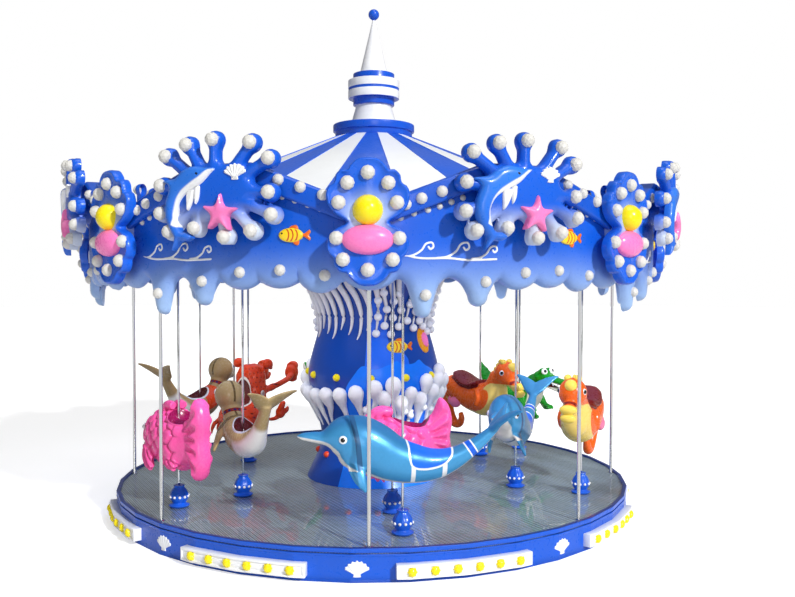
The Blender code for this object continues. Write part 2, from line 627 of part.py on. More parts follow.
def build_figures():
    """Each figure faces against the angle; its pole runs through it and slides with it."""
    steel = material("polished_steel", STEEL, 0.15, 1.0)
    meshes = {}
    for kind, maker in MAKERS.items():
        bore = round_bar(guide_radius(POLE_RADIUS, CONTACT_GAP), -1, 1)
        seat = [ball(*SEAT_HOLLOWS[kind], 10, 6)] if kind in SEAT_HOLLOWS else []
        meshes[kind] = combined(kind, maker(), [*seat, bore])
    pole = mesh_from(round_bar(POLE_RADIUS, -POLE_BELOW, POLE_ABOVE), "pole")
    for name, kind, degrees, circle, seat, colour in FIGURES:
        angle = math.radians(degrees)
        centre = place(angle, circle, seat)
        add_object(name, meshes[kind].copy(), material(f"{name}_paint", colour, 0.25), angle + math.pi, centre)
        add_object(f"pole_{name}", pole, steel, angle + math.pi, centre)


def main():
    clear_scene()
    build_base()
    build_skirt()
    build_deck()
    build_posts()
    build_column()
    build_canopy_frame()
    build_roof()
    build_spire()
    build_frieze()
    build_figures()


main()
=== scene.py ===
"""The looks of an ocean carousel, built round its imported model.

Metres, +Z up, the turning axis on the Z axis and ground level at z = 0. Angles
round the carousel run from the front (-Y) towards +X. Flat work is shaped with
x to the right, y up and z towards the viewer, and then bent round the canopy.
"""

import logging
import math
from dataclasses import dataclass
from enum import Enum
from functools import cached_property
from typing import Callable, Iterable, Sequence

import bmesh
import bpy
import numpy as np
from mathutils import Matrix, Vector


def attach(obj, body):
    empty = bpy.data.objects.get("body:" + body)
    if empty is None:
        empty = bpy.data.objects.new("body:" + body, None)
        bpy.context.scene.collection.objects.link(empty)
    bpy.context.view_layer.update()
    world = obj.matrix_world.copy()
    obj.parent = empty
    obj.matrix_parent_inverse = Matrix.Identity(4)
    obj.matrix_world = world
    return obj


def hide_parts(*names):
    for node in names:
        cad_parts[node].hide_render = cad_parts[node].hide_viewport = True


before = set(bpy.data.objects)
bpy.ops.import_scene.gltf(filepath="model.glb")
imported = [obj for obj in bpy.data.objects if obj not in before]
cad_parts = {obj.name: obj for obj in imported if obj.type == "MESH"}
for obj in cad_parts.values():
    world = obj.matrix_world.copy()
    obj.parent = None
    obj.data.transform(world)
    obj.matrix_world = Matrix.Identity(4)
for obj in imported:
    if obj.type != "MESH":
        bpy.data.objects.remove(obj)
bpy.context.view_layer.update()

LOG = logging.getLogger("carousel")

Array = np.ndarray
BMesh = bmesh.types.BMesh
Mesh = bpy.types.Mesh
Socket = bpy.types.NodeSocket
Colour = tuple[float, float, float]
Field = Callable[[Array], Array]
Rise = Callable[[Array, Array], Array]
Point = tuple[float, float]
Point3 = tuple[float, float, float]
Station = tuple[float, ...]

ROTOR = "rotor"
SECTORS = 8
SECTOR = 45.0
OUTER_CIRCLE = 2.338
INNER_CIRCLE = 1.647
POLE_ANGLES = (7, 67, 127, 187, 247, 307)
TOUCHING = 1e-5


def srgb(red: float, green: float, blue: float) -> Colour:
    """A linear colour from display values between 0 and 255."""
    shares = (red / 255, green / 255, blue / 255)
    return tuple(((v + 0.055) / 1.055) ** 2.4 if v > 0.04 else v / 12.92 for v in shares)


def place(angle: float, radius: float = 0.0, height: float = 0.0) -> Vector:
    """The point at this angle from the front, in radians, on a circle about the axis."""
    return Vector((radius * math.sin(angle), -radius * math.cos(angle), height))


def smooth_curve(points: Sequence[Sequence[float]], parts: int, closed: bool = False) -> Array:
    """Points along a smooth curve through the given ones.

    Args:
        points: The points to pass through.
        parts: How many steps each stretch gets.
        closed: Whether the curve runs back to its start.

    Returns:
        One row for each point of the curve.
    """
    knots = np.array(points, float)
    count = len(knots)
    rows = []
    for i in range(count if closed else count - 1):
        if closed:
            picked = [knots[(i + k - 1) % count] for k in range(4)]
        else:
            picked = [knots[min(max(i + k - 1, 0), count - 1)] for k in range(4)]
        before, start, end, after = picked
        for t in np.arange(parts) / parts:
            square = (2 * before - 5 * start + 4 * end - after) * t**2
            cube = (3 * start - before - 3 * end + after) * t**3
            rows.append(0.5 * (2 * start + (end - before) * t + square + cube))
    if not closed:
        rows.append(knots[-1])
    return np.array(rows)


class Graph:
    """Short calls that add shader nodes to one tree."""

    def __init__(self, tree: bpy.types.NodeTree) -> None:
        """Keeps the tree that the nodes go into."""
        self.tree = tree

    def add(self, kind: str, **settings: object) -> bpy.types.Node:
        """A new node with its settings.

        Args:
            kind: The node's type.
            settings: Its properties and their values.

        Returns:
            The node.
        """
        node = self.tree.nodes.new(kind)
        for name, value in settings.items():
            setattr(node, name, value)
        return node

    def feed(self, socket: Socket, value: object) -> None:
        """Links a socket, or sets its value.

        Args:
            socket: The socket that is fed.
            value: Another socket, or a value.
        """
        if isinstance(value, Socket):
            self.tree.links.new(value, socket)
        else:
            socket.default_value = value

    def math(self, operation: str, first: object, second: object = 0.0, clamp: bool = False) -> Socket:
        """A Math node's result.

        Args:
            operation: What the node does.
            first: The first value or socket.
            second: The second value or socket.
            clamp: Whether the result stays between 0 and 1.

        Returns:
            The result.
        """
        node = self.add("ShaderNodeMath", operation=operation, use_clamp=clamp)
        self.feed(node.inputs[0], first)
        self.feed(node.inputs[1], second)
        return node.outputs[0]

    def times(self, first: object, second: object) -> Socket:
        """Two values multiplied."""
        return self.math("MULTIPLY", first, second)

    def plus(self, first: object, second: object) -> Socket:
        """Two values added."""
        return self.math("ADD", first, second)

    def mix(self, factor: object, first: object, second: object, blend: str = "MIX") -> Socket:
        """Two colours mixed by a factor.

        Args:
            factor: 0 for the first colour, 1 for the second.
            first: The first value or socket.
            second: The second value or socket.
            blend: How they are blended.

        Returns:
            The mixed colour.
        """
        node = self.add("ShaderNodeMix", data_type="RGBA", blend_type=blend)
        self.feed(node.inputs[0], factor)
        for socket, value in ((node.inputs[6], first), (node.inputs[7], second)):
            self.feed(socket, (*value, 1.0) if isinstance(value, tuple) else value)
        return node.outputs[2]

    def remap(self, value: object, low: float, high: float, to_low: float = 0.0,
              to_high: float = 1.0) -> Socket:
        """A value carried from one range to another, with soft ends.

        Args:
            value: The value that is carried.
            low: The first range's start.
            high: The first range's end.
            to_low: What the start becomes.
            to_high: What the end becomes.

        Returns:
            The new value.
        """
        node = self.add("ShaderNodeMapRange", interpolation_type="SMOOTHSTEP")
        for socket, number in zip(node.inputs, (value, low, high, to_low, to_high)):
            self.feed(socket, number)
        return node.outputs[0]

    def noise(self, vector: Socket, scale: float, detail: float = 3.0) -> Socket:
        """A noise value at each point.

        Args:
            vector: The points.
            scale: How fine the noise is.
            detail: How many finer layers it has.

        Returns:
            The noise.
        """
        node = self.add("ShaderNodeTexNoise")
        self.feed(node.inputs["Vector"], vector)
        node.inputs["Scale"].default_value = scale
        node.inputs["Detail"].default_value = detail
        return node.outputs["Fac"]

    def object_point(self) -> Socket:
        """The piece's own Object coordinates."""
        return self.add("ShaderNodeTexCoord").outputs["Object"]

    def attribute(self, name: str) -> Socket:
        """A number kept on the mesh's points."""
        return self.add("ShaderNodeAttribute", attribute_name=name).outputs["Fac"]

    def axes(self, vector: Socket) -> tuple[Socket, ...]:
        """The x, y and z of a vector.

        Args:
            vector: The points.

        Returns:
            The three numbers.
        """
        node = self.add("ShaderNodeSeparateXYZ")
        self.feed(node.inputs[0], vector)
        return tuple(node.outputs)


class Effects:
    """Shader node groups that several finishes share, each made once."""

    @staticmethod
    def start(name: str, inputs: dict[str, tuple[str, object]], outputs: dict[str, str]) -> tuple:
        """A new group with its sockets, and the nodes that stand for them.

        Args:
            name: The group's name.
            inputs: A socket type and a value for each input.
            outputs: A socket type for each output.

        Returns:
            The tree, its graph, its inputs and its outputs.
        """
        tree = bpy.data.node_groups.new(name, "ShaderNodeTree")
        for label, (kind, value) in inputs.items():
            socket = tree.interface.new_socket(label, in_out="INPUT", socket_type=kind)
            socket.default_value = value
        for label, kind in outputs.items():
            tree.interface.new_socket(label, in_out="OUTPUT", socket_type=kind)
        graph = Graph(tree)
        return tree, graph, graph.add("NodeGroupInput").outputs, graph.add("NodeGroupOutput").inputs

    @classmethod
    def gelcoat(cls) -> bpy.types.NodeTree:
        """Sprayed paint: soft mottling, dust on upward faces and a faint orange peel.

        Returns:
            The group.
        """
        found = bpy.data.node_groups.get("gelcoat")
        if found:
            return found
        tree, graph, given, made = cls.start(
            "gelcoat",
            {"Colour": ("NodeSocketColor", (1, 1, 1, 1)), "Gloss": ("NodeSocketFloat", 0.3),
             "Mottle": ("NodeSocketFloat", 0.08), "Dust": ("NodeSocketFloat", 0.06)},
            {"Colour": "NodeSocketColor", "Roughness": "NodeSocketFloat", "Height": "NodeSocketFloat"})
        point = graph.object_point()
        cloud = graph.noise(point, 2.3, 4.0)
        speck = graph.noise(point, 34.0, 2.0)
        tone = graph.plus(graph.times(cloud, 0.7), graph.times(speck, 0.3))
        shade = graph.times(graph.remap(tone, 0.35, 0.68), given["Mottle"])
        darker = graph.mix(shade, given["Colour"], (0.02, 0.03, 0.06))
        normal = graph.add("ShaderNodeNewGeometry").outputs["Normal"]
        up = graph.remap(graph.axes(normal)[2], 0.25, 0.95)
        dust = graph.times(graph.times(up, graph.remap(cloud, 0.3, 0.7)), given["Dust"])
        graph.feed(made["Colour"], graph.mix(dust, darker, (0.62, 0.60, 0.55)))
        rough = graph.plus(given["Gloss"], graph.times(graph.remap(speck, 0.3, 0.8), 0.10))
        graph.feed(made["Roughness"], graph.math("ADD", rough, dust, clamp=True))
        graph.feed(made["Height"], graph.noise(point, 160.0, 1.0))
        return tree

    @classmethod
    def brushed(cls) -> bpy.types.NodeTree:
        """Drawn metal: fine streaks along Z that change tone and roughness.

        Returns:
            The group.
        """
        found = bpy.data.node_groups.get("brushed")
        if found:
            return found
        tree, graph, given, made = cls.start(
            "brushed",
            {"Colour": ("NodeSocketColor", (1, 1, 1, 1)), "Gloss": ("NodeSocketFloat", 0.15)},
            {"Colour": "NodeSocketColor", "Roughness": "NodeSocketFloat", "Height": "NodeSocketFloat"})
        stretch = graph.add("ShaderNodeMapping")
        graph.feed(stretch.inputs["Vector"], graph.object_point())
        stretch.inputs["Scale"].default_value = (1, 1, 0.03)
        streak = graph.noise(stretch.outputs["Vector"], 420.0, 2.0)
        smear = graph.noise(graph.object_point(), 5.0, 3.0)
        dull = graph.times(graph.remap(smear, 0.4, 0.75), 0.35)
        graph.feed(made["Colour"], graph.mix(dull, given["Colour"], (0.34, 0.35, 0.37)))
        rough = graph.plus(given["Gloss"], graph.times(streak, 0.12))
        graph.feed(made["Roughness"], graph.plus(rough, graph.times(dull, 0.3)))
        graph.feed(made["Height"], streak)
        return tree


@dataclass(frozen=True)
class Layer:
    """One more colour over a finish, where a mask says."""

    colour: Colour

    def mask(self, graph: Graph) -> Socket:
        """A value from 0, hidden, to 1, painted."""
        raise NotImplementedError


@dataclass(frozen=True)
class Painted(Layer):
    """Colour inside a line: the attribute is the distance inside it."""

    attribute: str = "paint"
    soft: float = 0.0015
    strength: float = 1.0

    def mask(self, graph: Graph) -> Socket:
        """1 where the attribute is over 0."""
        return graph.remap(graph.attribute(self.attribute), -self.soft, self.soft, 0.0, self.strength)


@dataclass(frozen=True)
class Graded(Layer):
    """Colour that comes in between two heights."""

    start: float = 0.0
    end: float = 1.0
    strength: float = 1.0

    def mask(self, graph: Graph) -> Socket:
        """0 at the start height, and full at the end height.

        Args:
            graph: The calls that add nodes.

        Returns:
            The mask.
        """
        height = graph.axes(graph.object_point())[2]
        low, high = sorted((self.start, self.end))
        ends = (0.0, self.strength) if self.end > self.start else (self.strength, 0.0)
        return graph.remap(height, low, high, *ends)


@dataclass(frozen=True)
class Finish:
    """A surface finish, from which one material is made."""

    name: str
    slot: str
    colour: Colour
    gloss: float = 0.27
    metallic: float = 0.0
    coat: float = 0.2
    mottle: float = 0.10
    dust: float = 0.03
    peel: float = 0.0003
    layers: tuple[Layer, ...] = ()

    def material(self) -> bpy.types.Material:
        """The finish's material, made at its first use.

        Returns:
            The material.
        """
        found = bpy.data.materials.get(self.name)
        if found:
            return found
        made = bpy.data.materials.new(self.name)
        made.use_nodes = True
        graph = Graph(made.node_tree)
        shader = made.node_tree.nodes["Principled BSDF"]
        shader.inputs["Metallic"].default_value = self.metallic
        shader.inputs["Specular IOR Level"].default_value = 0.35
        shader.inputs["Coat Weight"].default_value = self.coat
        shader.inputs["Coat Roughness"].default_value = 0.08
        self.dress(graph, shader)
        return made

    def painted(self, graph: Graph) -> object:
        """The colour with its layers, from the lowest up.

        Args:
            graph: The calls that add nodes.

        Returns:
            A colour, or the socket that gives it.
        """
        if not self.layers:
            return (*self.colour, 1.0)
        colour: object = self.colour
        for layer in self.layers:
            colour = graph.mix(layer.mask(graph), colour, layer.colour)
        return colour

    def dress(self, graph: Graph, shader: bpy.types.Node) -> None:
        """Links the sprayed paint to the shader.

        Args:
            graph: The calls that add nodes.
            shader: The Principled shader.
        """
        effect = graph.add("ShaderNodeGroup", node_tree=Effects.gelcoat())
        graph.feed(effect.inputs["Colour"], self.painted(graph))
        effect.inputs["Gloss"].default_value = self.gloss
        effect.inputs["Mottle"].default_value = self.mottle
        effect.inputs["Dust"].default_value = self.dust
        self.connect(graph, shader, effect)

    def connect(self, graph: Graph, shader: bpy.types.Node, effect: bpy.types.Node) -> None:
        """Links an effect's outputs to the shader.

        Args:
            graph: The calls that add nodes.
            shader: The Principled shader.
            effect: The effect's group node.
        """
        graph.feed(shader.inputs["Base Color"], effect.outputs["Colour"])
        graph.feed(shader.inputs["Roughness"], effect.outputs["Roughness"])
        bump = graph.add("ShaderNodeBump")
        bump.inputs["Strength"].default_value = 0.6
        bump.inputs["Distance"].default_value = self.peel
        graph.feed(bump.inputs["Height"], effect.outputs["Height"])
        graph.feed(shader.inputs["Normal"], bump.outputs["Normal"])


@dataclass(frozen=True)
class Metal(Finish):
    """Polished steel with fine drawing streaks."""

    def dress(self, graph: Graph, shader: bpy.types.Node) -> None:
        """Links the drawn metal to the shader.

        Args:
            graph: The calls that add nodes.
            shader: The Principled shader.
        """
        effect = graph.add("ShaderNodeGroup", node_tree=Effects.brushed())
        effect.inputs["Colour"].default_value = (*self.colour, 1.0)
        effect.inputs["Gloss"].default_value = self.gloss
        self.connect(graph, shader, effect)


@dataclass(frozen=True)
class RibbedPlate(Finish):
    """Deck plate with fine straight ribs, worn along the walkways."""

    pitch: float = 0.021
    turn: float = 28.0

    def dress(self, graph: Graph, shader: bpy.types.Node) -> None:
        """Links ribs, painted shade in their grooves, scuffs and foot-traffic sheen to the shader.

        Args:
            graph: The calls that add nodes.
            shader: The Principled shader.
        """
        point = graph.object_point()
        turned = graph.add("ShaderNodeMapping", vector_type="POINT")
        graph.feed(turned.inputs["Vector"], point)
        turned.inputs["Rotation"].default_value = (0, 0, math.radians(-self.turn))
        across = graph.times(graph.axes(turned.outputs["Vector"])[0], math.tau / self.pitch)
        wave = graph.math("SINE", across)
        rib = graph.remap(wave, -0.2, 0.7)
        worn = graph.remap(graph.noise(point, 1.4, 5.0), 0.42, 0.62)
        scuff = graph.remap(graph.noise(point, 11.0, 6.0), 0.52, 0.7)
        # the grooves between the ribs are painted darker than the ribs: painted shade
        groove = graph.mix(rib, tuple(0.40 * c for c in self.colour), self.colour)
        light = graph.mix(graph.times(worn, 0.18), groove, tuple(1.4 * c for c in self.colour))
        dirty = graph.mix(graph.times(scuff, 0.12), light, (0.05, 0.06, 0.07))
        graph.feed(shader.inputs["Base Color"], dirty)
        rough = graph.plus(self.gloss, graph.times(worn, 0.08))
        graph.feed(shader.inputs["Roughness"], graph.plus(rough, graph.times(scuff, 0.1)))
        shader.inputs["Coat Roughness"].default_value = 0.01
        shader.inputs["Coat IOR"].default_value = 1.75
        bump = graph.add("ShaderNodeBump")
        bump.inputs["Strength"].default_value = 0.35
        bump.inputs["Distance"].default_value = self.peel
        graph.feed(bump.inputs["Height"], rib)
        graph.feed(shader.inputs["Normal"], bump.outputs["Normal"])


class Palette:
    """The carousel's colours."""

    ROYAL = srgb(16, 93, 214)
    RIM = srgb(10, 86, 204)
    DEEP = srgb(8, 44, 122)
    PALE = srgb(158, 188, 226)
    WHITE = srgb(246, 247, 248)
    PEARL = srgb(216, 214, 208)
    YELLOW = srgb(255, 232, 20)
    PINK = srgb(255, 128, 196)
    STAR = srgb(252, 128, 192)
    ORANGE = srgb(240, 110, 30)
    LEMON = srgb(252, 214, 40)
    RED = srgb(205, 62, 28)
    STEEL = srgb(214, 216, 220)
    DECK = srgb(152, 171, 180)
    BLACK = srgb(18, 18, 20)


def tan_look(name: str, colour: Colour, own: Painted) -> Finish:
    """A tan dolphin's finish, with one layer of its own between those that both have.

    Args:
        name: The material's name.
        colour: The skin's colour.
        own: The layer of its own.

    Returns:
        The finish.
    """
    return Finish(name, "tan_dolphin_paint", colour, gloss=0.22, layers=(
        Painted(srgb(240, 238, 232), "belly", 0.035), Painted(srgb(96, 78, 46), "stripe", 0.004), own,
        Painted(srgb(206, 214, 224), "blanket"), Painted(srgb(84, 20, 12), "blanket_in"),
        Painted(srgb(132, 32, 22), "strap"), Painted(srgb(24, 40, 92), "gem")))


class Finishes:
    """Every finish on the carousel, each named after what it covers."""

    frame_steel = Metal(
        "frame_steel", "base_steel", srgb(120, 124, 128), gloss=0.45, metallic=0.9, coat=0.0)
    steel = Metal("polished_steel", "polished_steel", Palette.STEEL, gloss=0.21, metallic=1.0,
                  coat=0.0, peel=0.00002)
    deck = RibbedPlate("ribbed_deck", "deck_plate", Palette.DECK, gloss=0.34, metallic=0.1,
                       coat=1.0, peel=0.0022)
    rim = Finish("rim_blue", "deck_plate", Palette.RIM)
    lip = Finish("lip_blue", "deck_plate", Palette.DEEP)
    fascia = Finish(
        "fascia_blue", "skirt_paint", Palette.RIM, layers=(Graded(Palette.DEEP, 0.07, 0.0, 0.35),))
    trough = Finish("trough_white", "skirt_paint", Palette.WHITE, gloss=0.3)
    bulb = Finish("bulb_yellow", "skirt_paint", Palette.YELLOW, gloss=0.12, mottle=0.04)
    emblem = Finish("emblem_white", "skirt_paint", Palette.WHITE)
    pedestal = Finish("pedestal_blue", "deck_plate", srgb(18, 92, 214))
    bead = Finish("bead_white", "deck_plate", Palette.WHITE, gloss=0.15)
    ceiling = Finish("ceiling_blue", "canopy_paint", srgb(70, 120, 220), gloss=0.4)
    frieze = Finish(
        "frieze_blue", "frieze_paint", Palette.ROYAL, layers=(Graded(Palette.PALE, 2.82, 2.24, 0.92),))
    rail = Finish("rail_blue", "frieze_paint", srgb(10, 84, 200))
    crown = Finish("crown_blue", "frieze_paint", Palette.ROYAL,
                   layers=(Graded(srgb(206, 216, 230), 3.10, 2.86, 0.92),))
    shell = Finish("shell_blue", "frieze_paint", srgb(20, 96, 218),
                   layers=(Painted(srgb(206, 222, 250), "glow", 0.12, 0.85),))
    pearl = Finish("pearl_white", "frieze_paint", Palette.PEARL, gloss=0.42, mottle=0.05, coat=0.0)
    ball = Finish("ball_yellow", "frieze_paint", Palette.YELLOW, gloss=0.25, mottle=0.05)
    oval = Finish("oval_pink", "frieze_paint", Palette.PINK, gloss=0.25, mottle=0.05)
    leaper = Finish("leaper_blue", "frieze_paint", srgb(44, 122, 230),
                    layers=(Graded(srgb(30, 90, 205), 3.36, 2.75, 0.5),
                            Painted(Palette.WHITE, "belly", 0.008), Painted(Palette.BLACK, "eye", 0.0015)))
    flipper = Finish("flipper_white", "frieze_paint", Palette.WHITE)
    star = Finish("star_pink", "frieze_paint", Palette.STAR)
    fish = Finish("reef_fish_yellow", "frieze_paint", Palette.LEMON,
                  layers=(Painted(Palette.ORANGE, "trim", 0.002), Painted(Palette.RED, "stripe", 0.002),
                          Painted(Palette.BLACK, "eye", 0.0015)))
    wave = Finish("wave_white", "frieze_paint", Palette.WHITE)
    roof_blue = Finish("roof_blue", "roof_skin", srgb(16, 94, 220), gloss=0.36, coat=0.2)
    roof_white = Finish("roof_white", "roof_skin", srgb(252, 254, 255), gloss=0.36, coat=0.1, mottle=0.04)
    column = Finish(
        "column_blue", "column_paint", srgb(8, 66, 160), gloss=0.3, mottle=0.12,
        layers=(Painted(srgb(24, 104, 236), "royal", 0.002), Painted(srgb(10, 122, 250), "azure", 0.002)))
    horn = Finish("horn_white", "column_paint", srgb(226, 226, 228), gloss=0.3)
    foam = Finish("foam_white", "column_paint", srgb(250, 251, 252), gloss=0.25, mottle=0.05)
    foam_bead = Finish("foam_bead_white", "column_paint", srgb(240, 241, 243), gloss=0.25, mottle=0.05)
    ball_dot = Finish("dot_yellow", "column_paint", Palette.YELLOW, gloss=0.3)
    red_dot = Finish("dot_red", "column_paint", srgb(214, 66, 28), gloss=0.3)
    gold = Finish("disc_gold", "column_paint", srgb(240, 160, 20), gloss=0.3)
    eye_white = Finish("eye_white", "blue_dolphin_paint", Palette.WHITE, gloss=0.15)
    eye_black = Finish("eye_black", "blue_dolphin_paint", Palette.BLACK, gloss=0.1, dust=0.0)
    ring_white = Finish("ring_white", "crab_paint", srgb(214, 206, 196), gloss=0.2)
    lemon = Finish("knob_yellow", "seahorse_paint", srgb(246, 216, 92), gloss=0.16)
    rest_pink = Finish("rest_pink", "seahorse_paint", srgb(235, 120, 160), gloss=0.2)
    tooth = Finish("tooth_white", "crocodile_paint", Palette.WHITE, gloss=0.2)
    # The crest layer paints the top of the dolphin's body darker: painted shade.
    dolphin_blue = Finish("dolphin_blue", "blue_dolphin_paint", srgb(66, 152, 206), gloss=0.30,
                          metallic=0.25, layers=(Painted(srgb(44, 116, 168), "crest", 0.05, 0.8),
                                                 Painted(srgb(238, 234, 226), "belly", 0.008),
                                                 Painted(Palette.WHITE, "blanket"),
                                                 Painted(srgb(24, 112, 250), "blanket_in"),
                                                 Painted(Palette.WHITE, "girths"),
                                                 Painted(srgb(44, 98, 142), "strap"),
                                                 Painted(Palette.WHITE, "band"),
                                                 Painted(srgb(30, 100, 220), "band_in")))
    dolphin_tan = tan_look("dolphin_tan", srgb(172, 150, 104), Painted(srgb(112, 92, 58), "shadow", 0.004))
    dolphin_tan_far = tan_look(
        "dolphin_tan_far", srgb(158, 134, 92), Painted(srgb(206, 66, 22), "cover", 0.003))
    pink_fish = Finish("fish_pink", "pink_fish_paint", srgb(244, 88, 162), gloss=0.24, layers=(
        Painted(srgb(138, 0, 72), "seat", 0.003),))
    seahorse = Finish("seahorse_orange", "seahorse_paint", srgb(236, 98, 18), gloss=0.24, layers=(
        Painted(srgb(238, 208, 110), "belly", 0.002), Painted(srgb(112, 24, 18), "saddle", 0.003),
        Painted(srgb(132, 34, 20), "collar", 0.002)))
    crocodile = Finish("crocodile_green", "crocodile_paint", srgb(14, 140, 22), gloss=0.24, layers=(
        Painted(srgb(240, 240, 220), "belly", 0.005), Painted(srgb(120, 20, 16), "mouth", 0.003)))
    crab = Finish("crab_red", "crab_paint", srgb(214, 62, 14), gloss=0.26, layers=(
        Painted(srgb(96, 22, 12), "pits", 0.004), Painted(srgb(236, 226, 214), "seat_rim", 0.002),
        Painted(srgb(110, 22, 16), "seat", 0.002)))
    spire_blue = Finish("spire_blue", "spire_paint", srgb(16, 86, 206))
    spire_white = Finish("spire_white", "spire_paint", Palette.WHITE)


def link(obj: bpy.types.Object) -> None:
    """Puts an object in the scene."""
    bpy.context.scene.collection.objects.link(obj)


def new_object(name: str, mesh: Mesh, body: str, nodes: Sequence[str], slot: str) -> bpy.types.Object:
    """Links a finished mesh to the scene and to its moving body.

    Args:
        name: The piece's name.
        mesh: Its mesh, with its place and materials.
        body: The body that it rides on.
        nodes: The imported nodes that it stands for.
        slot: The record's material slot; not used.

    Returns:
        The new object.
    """
    obj = bpy.data.objects.new(name, mesh)
    link(obj)
    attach(obj, body)
    if nodes:
        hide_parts(*nodes)
    LOG.info("%s: %d faces on %s", name, len(mesh.polygons), body)
    return obj


def thinned(mesh: Mesh, kept: float, crease: float = 60.0) -> Mesh:
    """The mesh with fewer triangles where it is nearly flat.

    Args:
        mesh: The fine mesh, which is removed.
        kept: The share of the triangles that stays.
        crease: The angle in degrees past which an edge looks sharp.

    Returns:
        The lighter mesh.
    """
    if kept >= 1:
        return mesh
    made = made_by(mesh, "DECIMATE", ratio=kept)
    bpy.data.meshes.remove(mesh)
    return smoothed(made, crease)


def mesh_of(bm: BMesh, name: str, finishes: Sequence[Finish], crease: float = 40.0,
            merge: float = TOUCHING, kept: float = 1.0) -> Mesh:
    """A mesh from a bmesh, with its doubles merged and its faces turned outwards.

    Args:
        bm: The shape, which is freed.
        name: The mesh's name.
        finishes: One finish for each material index.
        crease: The angle in degrees past which an edge looks sharp.
        merge: Points nearer than this are merged.
        kept: The share of the triangles that stays.

    Returns:
        The mesh.
    """
    bmesh.ops.remove_doubles(bm, verts=bm.verts, dist=merge)
    bmesh.ops.recalc_face_normals(bm, faces=bm.faces)
    mesh = thinned(kept_mesh(bm, name), kept)
    for finish in finishes:
        mesh.materials.append(finish.material())
    return smoothed(mesh, crease)


def add_piece(name: str, bm: BMesh, finishes: Sequence[Finish], body: str,
              nodes: Sequence[str] = (), crease: float = 40.0, kept: float = 1.0) -> bpy.types.Object:
    """A new piece from a bmesh, on its body.

    Args:
        name: The piece's name.
        bm: The shape, which is freed.
        finishes: One finish for each material index.
        body: The body that it rides on.
        nodes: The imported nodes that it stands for.
        crease: The angle in degrees past which an edge looks sharp.
        kept: The share of the triangles that stays.

    Returns:
        The new object.
    """
    return new_object(name, mesh_of(bm, name, finishes, crease, kept=kept), body, nodes, finishes[0].slot)


def copied_round(mesh: Mesh, name: str, count: int, body: str, slot: str,
                 nodes: str = "", step: float = 0.0) -> list[bpy.types.Object]:
    """Copies of a mesh at equal steps about the axis.

    Args:
        mesh: The first copy's mesh, at its place.
        name: The pieces' name, which gets a number.
        count: How many copies there are.
        body: The body that they ride on.
        slot: The record's material slot.
        nodes: The start of the names of the nodes that they stand for, if any.
        step: The step in degrees, or a full turn shared out.

    Returns:
        The copies.
    """
    made = []
    for k in range(count):
        turned = mesh.copy()
        turned.transform(Matrix.Rotation(math.radians(step or 360 / count) * k, 4, "Z"))
        replaced = [f"{nodes}_{k + 1}"] if nodes else []
        made.append(new_object(f"{name}_{k + 1}", turned, body, replaced, slot))
    return made


def kept_mesh(bm: BMesh, name: str) -> Mesh:
    """The bmesh's shape as a mesh; the bmesh is freed.

    Args:
        bm: The shape.
        name: The mesh's name.

    Returns:
        The mesh.
    """
    mesh = bpy.data.meshes.new(name)
    bm.to_mesh(mesh)
    bm.free()
    return mesh


def merge(whole: BMesh, piece: BMesh) -> None:
    """Adds one bmesh to another, and frees it.

    Args:
        whole: The bmesh that grows.
        piece: The bmesh that is added.
    """
    keep = kept_mesh(piece, "part")
    whole.from_mesh(keep)
    bpy.data.meshes.remove(keep)


def made_by(mesh: Mesh, kind: str, **settings: object) -> Mesh:
    """A new mesh, made from the given one by a modifier with its settings.

    Args:
        mesh: The mesh before.
        kind: The modifier's type.
        settings: Its properties and their values.

    Returns:
        The mesh after.
    """
    work = bpy.data.objects.new(f"{mesh.name}_work", mesh)
    link(work)
    modifier = work.modifiers.new("work", kind)
    for name, value in settings.items():
        setattr(modifier, name, value)
    graph = bpy.context.evaluated_depsgraph_get()
    made = bpy.data.meshes.new_from_object(work.evaluated_get(graph))
    bpy.data.objects.remove(work, do_unlink=True)
    return made


def smoothed(mesh: Mesh, crease: float) -> Mesh:
    """Shades the mesh smooth, with edges sharp past an angle in degrees.

    Args:
        mesh: The mesh.
        crease: The angle in degrees past which an edge looks sharp.

    Returns:
        The same mesh.
    """
    mesh.shade_smooth()
    mesh.set_sharp_from_angle(angle=math.radians(crease))
    return mesh


def set_attribute(mesh: Mesh, name: str, values: Array) -> None:
    """Keeps one number for each point of a mesh."""
    layer = mesh.attributes.new(name, "FLOAT", "POINT")
    layer.data.foreach_set("value", values.astype(np.float32))


def mesh_points(mesh: Mesh) -> Array:
    """The mesh's points as rows.

    Args:
        mesh: The mesh.

    Returns:
        One row for each point.
    """
    points = np.zeros(len(mesh.vertices) * 3, np.float32)
    mesh.vertices.foreach_get("co", points)
    return points.reshape(-1, 3).astype(float)


def eased(profile: Sequence[Point], radius: float, points: int = 3) -> list[Point]:
    """A profile with its inner corners rounded by small arcs.

    Args:
        profile: The points of (radius, height).
        radius: How far from a corner its arc starts.
        points: How many points an arc has.

    Returns:
        The rounded profile.
    """
    made = [profile[0]]
    for before, corner, after in zip(profile, profile[1:], profile[2:]):
        back, ahead = Vector(before) - Vector(corner), Vector(after) - Vector(corner)
        reach = min(radius, back.length * 0.45, ahead.length * 0.45)
        start = Vector(corner) + back.normalized() * reach
        end = Vector(corner) + ahead.normalized() * reach
        for k in range(points):
            t = k / (points - 1)
            made.append(tuple(start * (1 - t) ** 2 + Vector(corner) * 2 * t * (1 - t) + end * t**2))
    made.append(profile[-1])
    return made


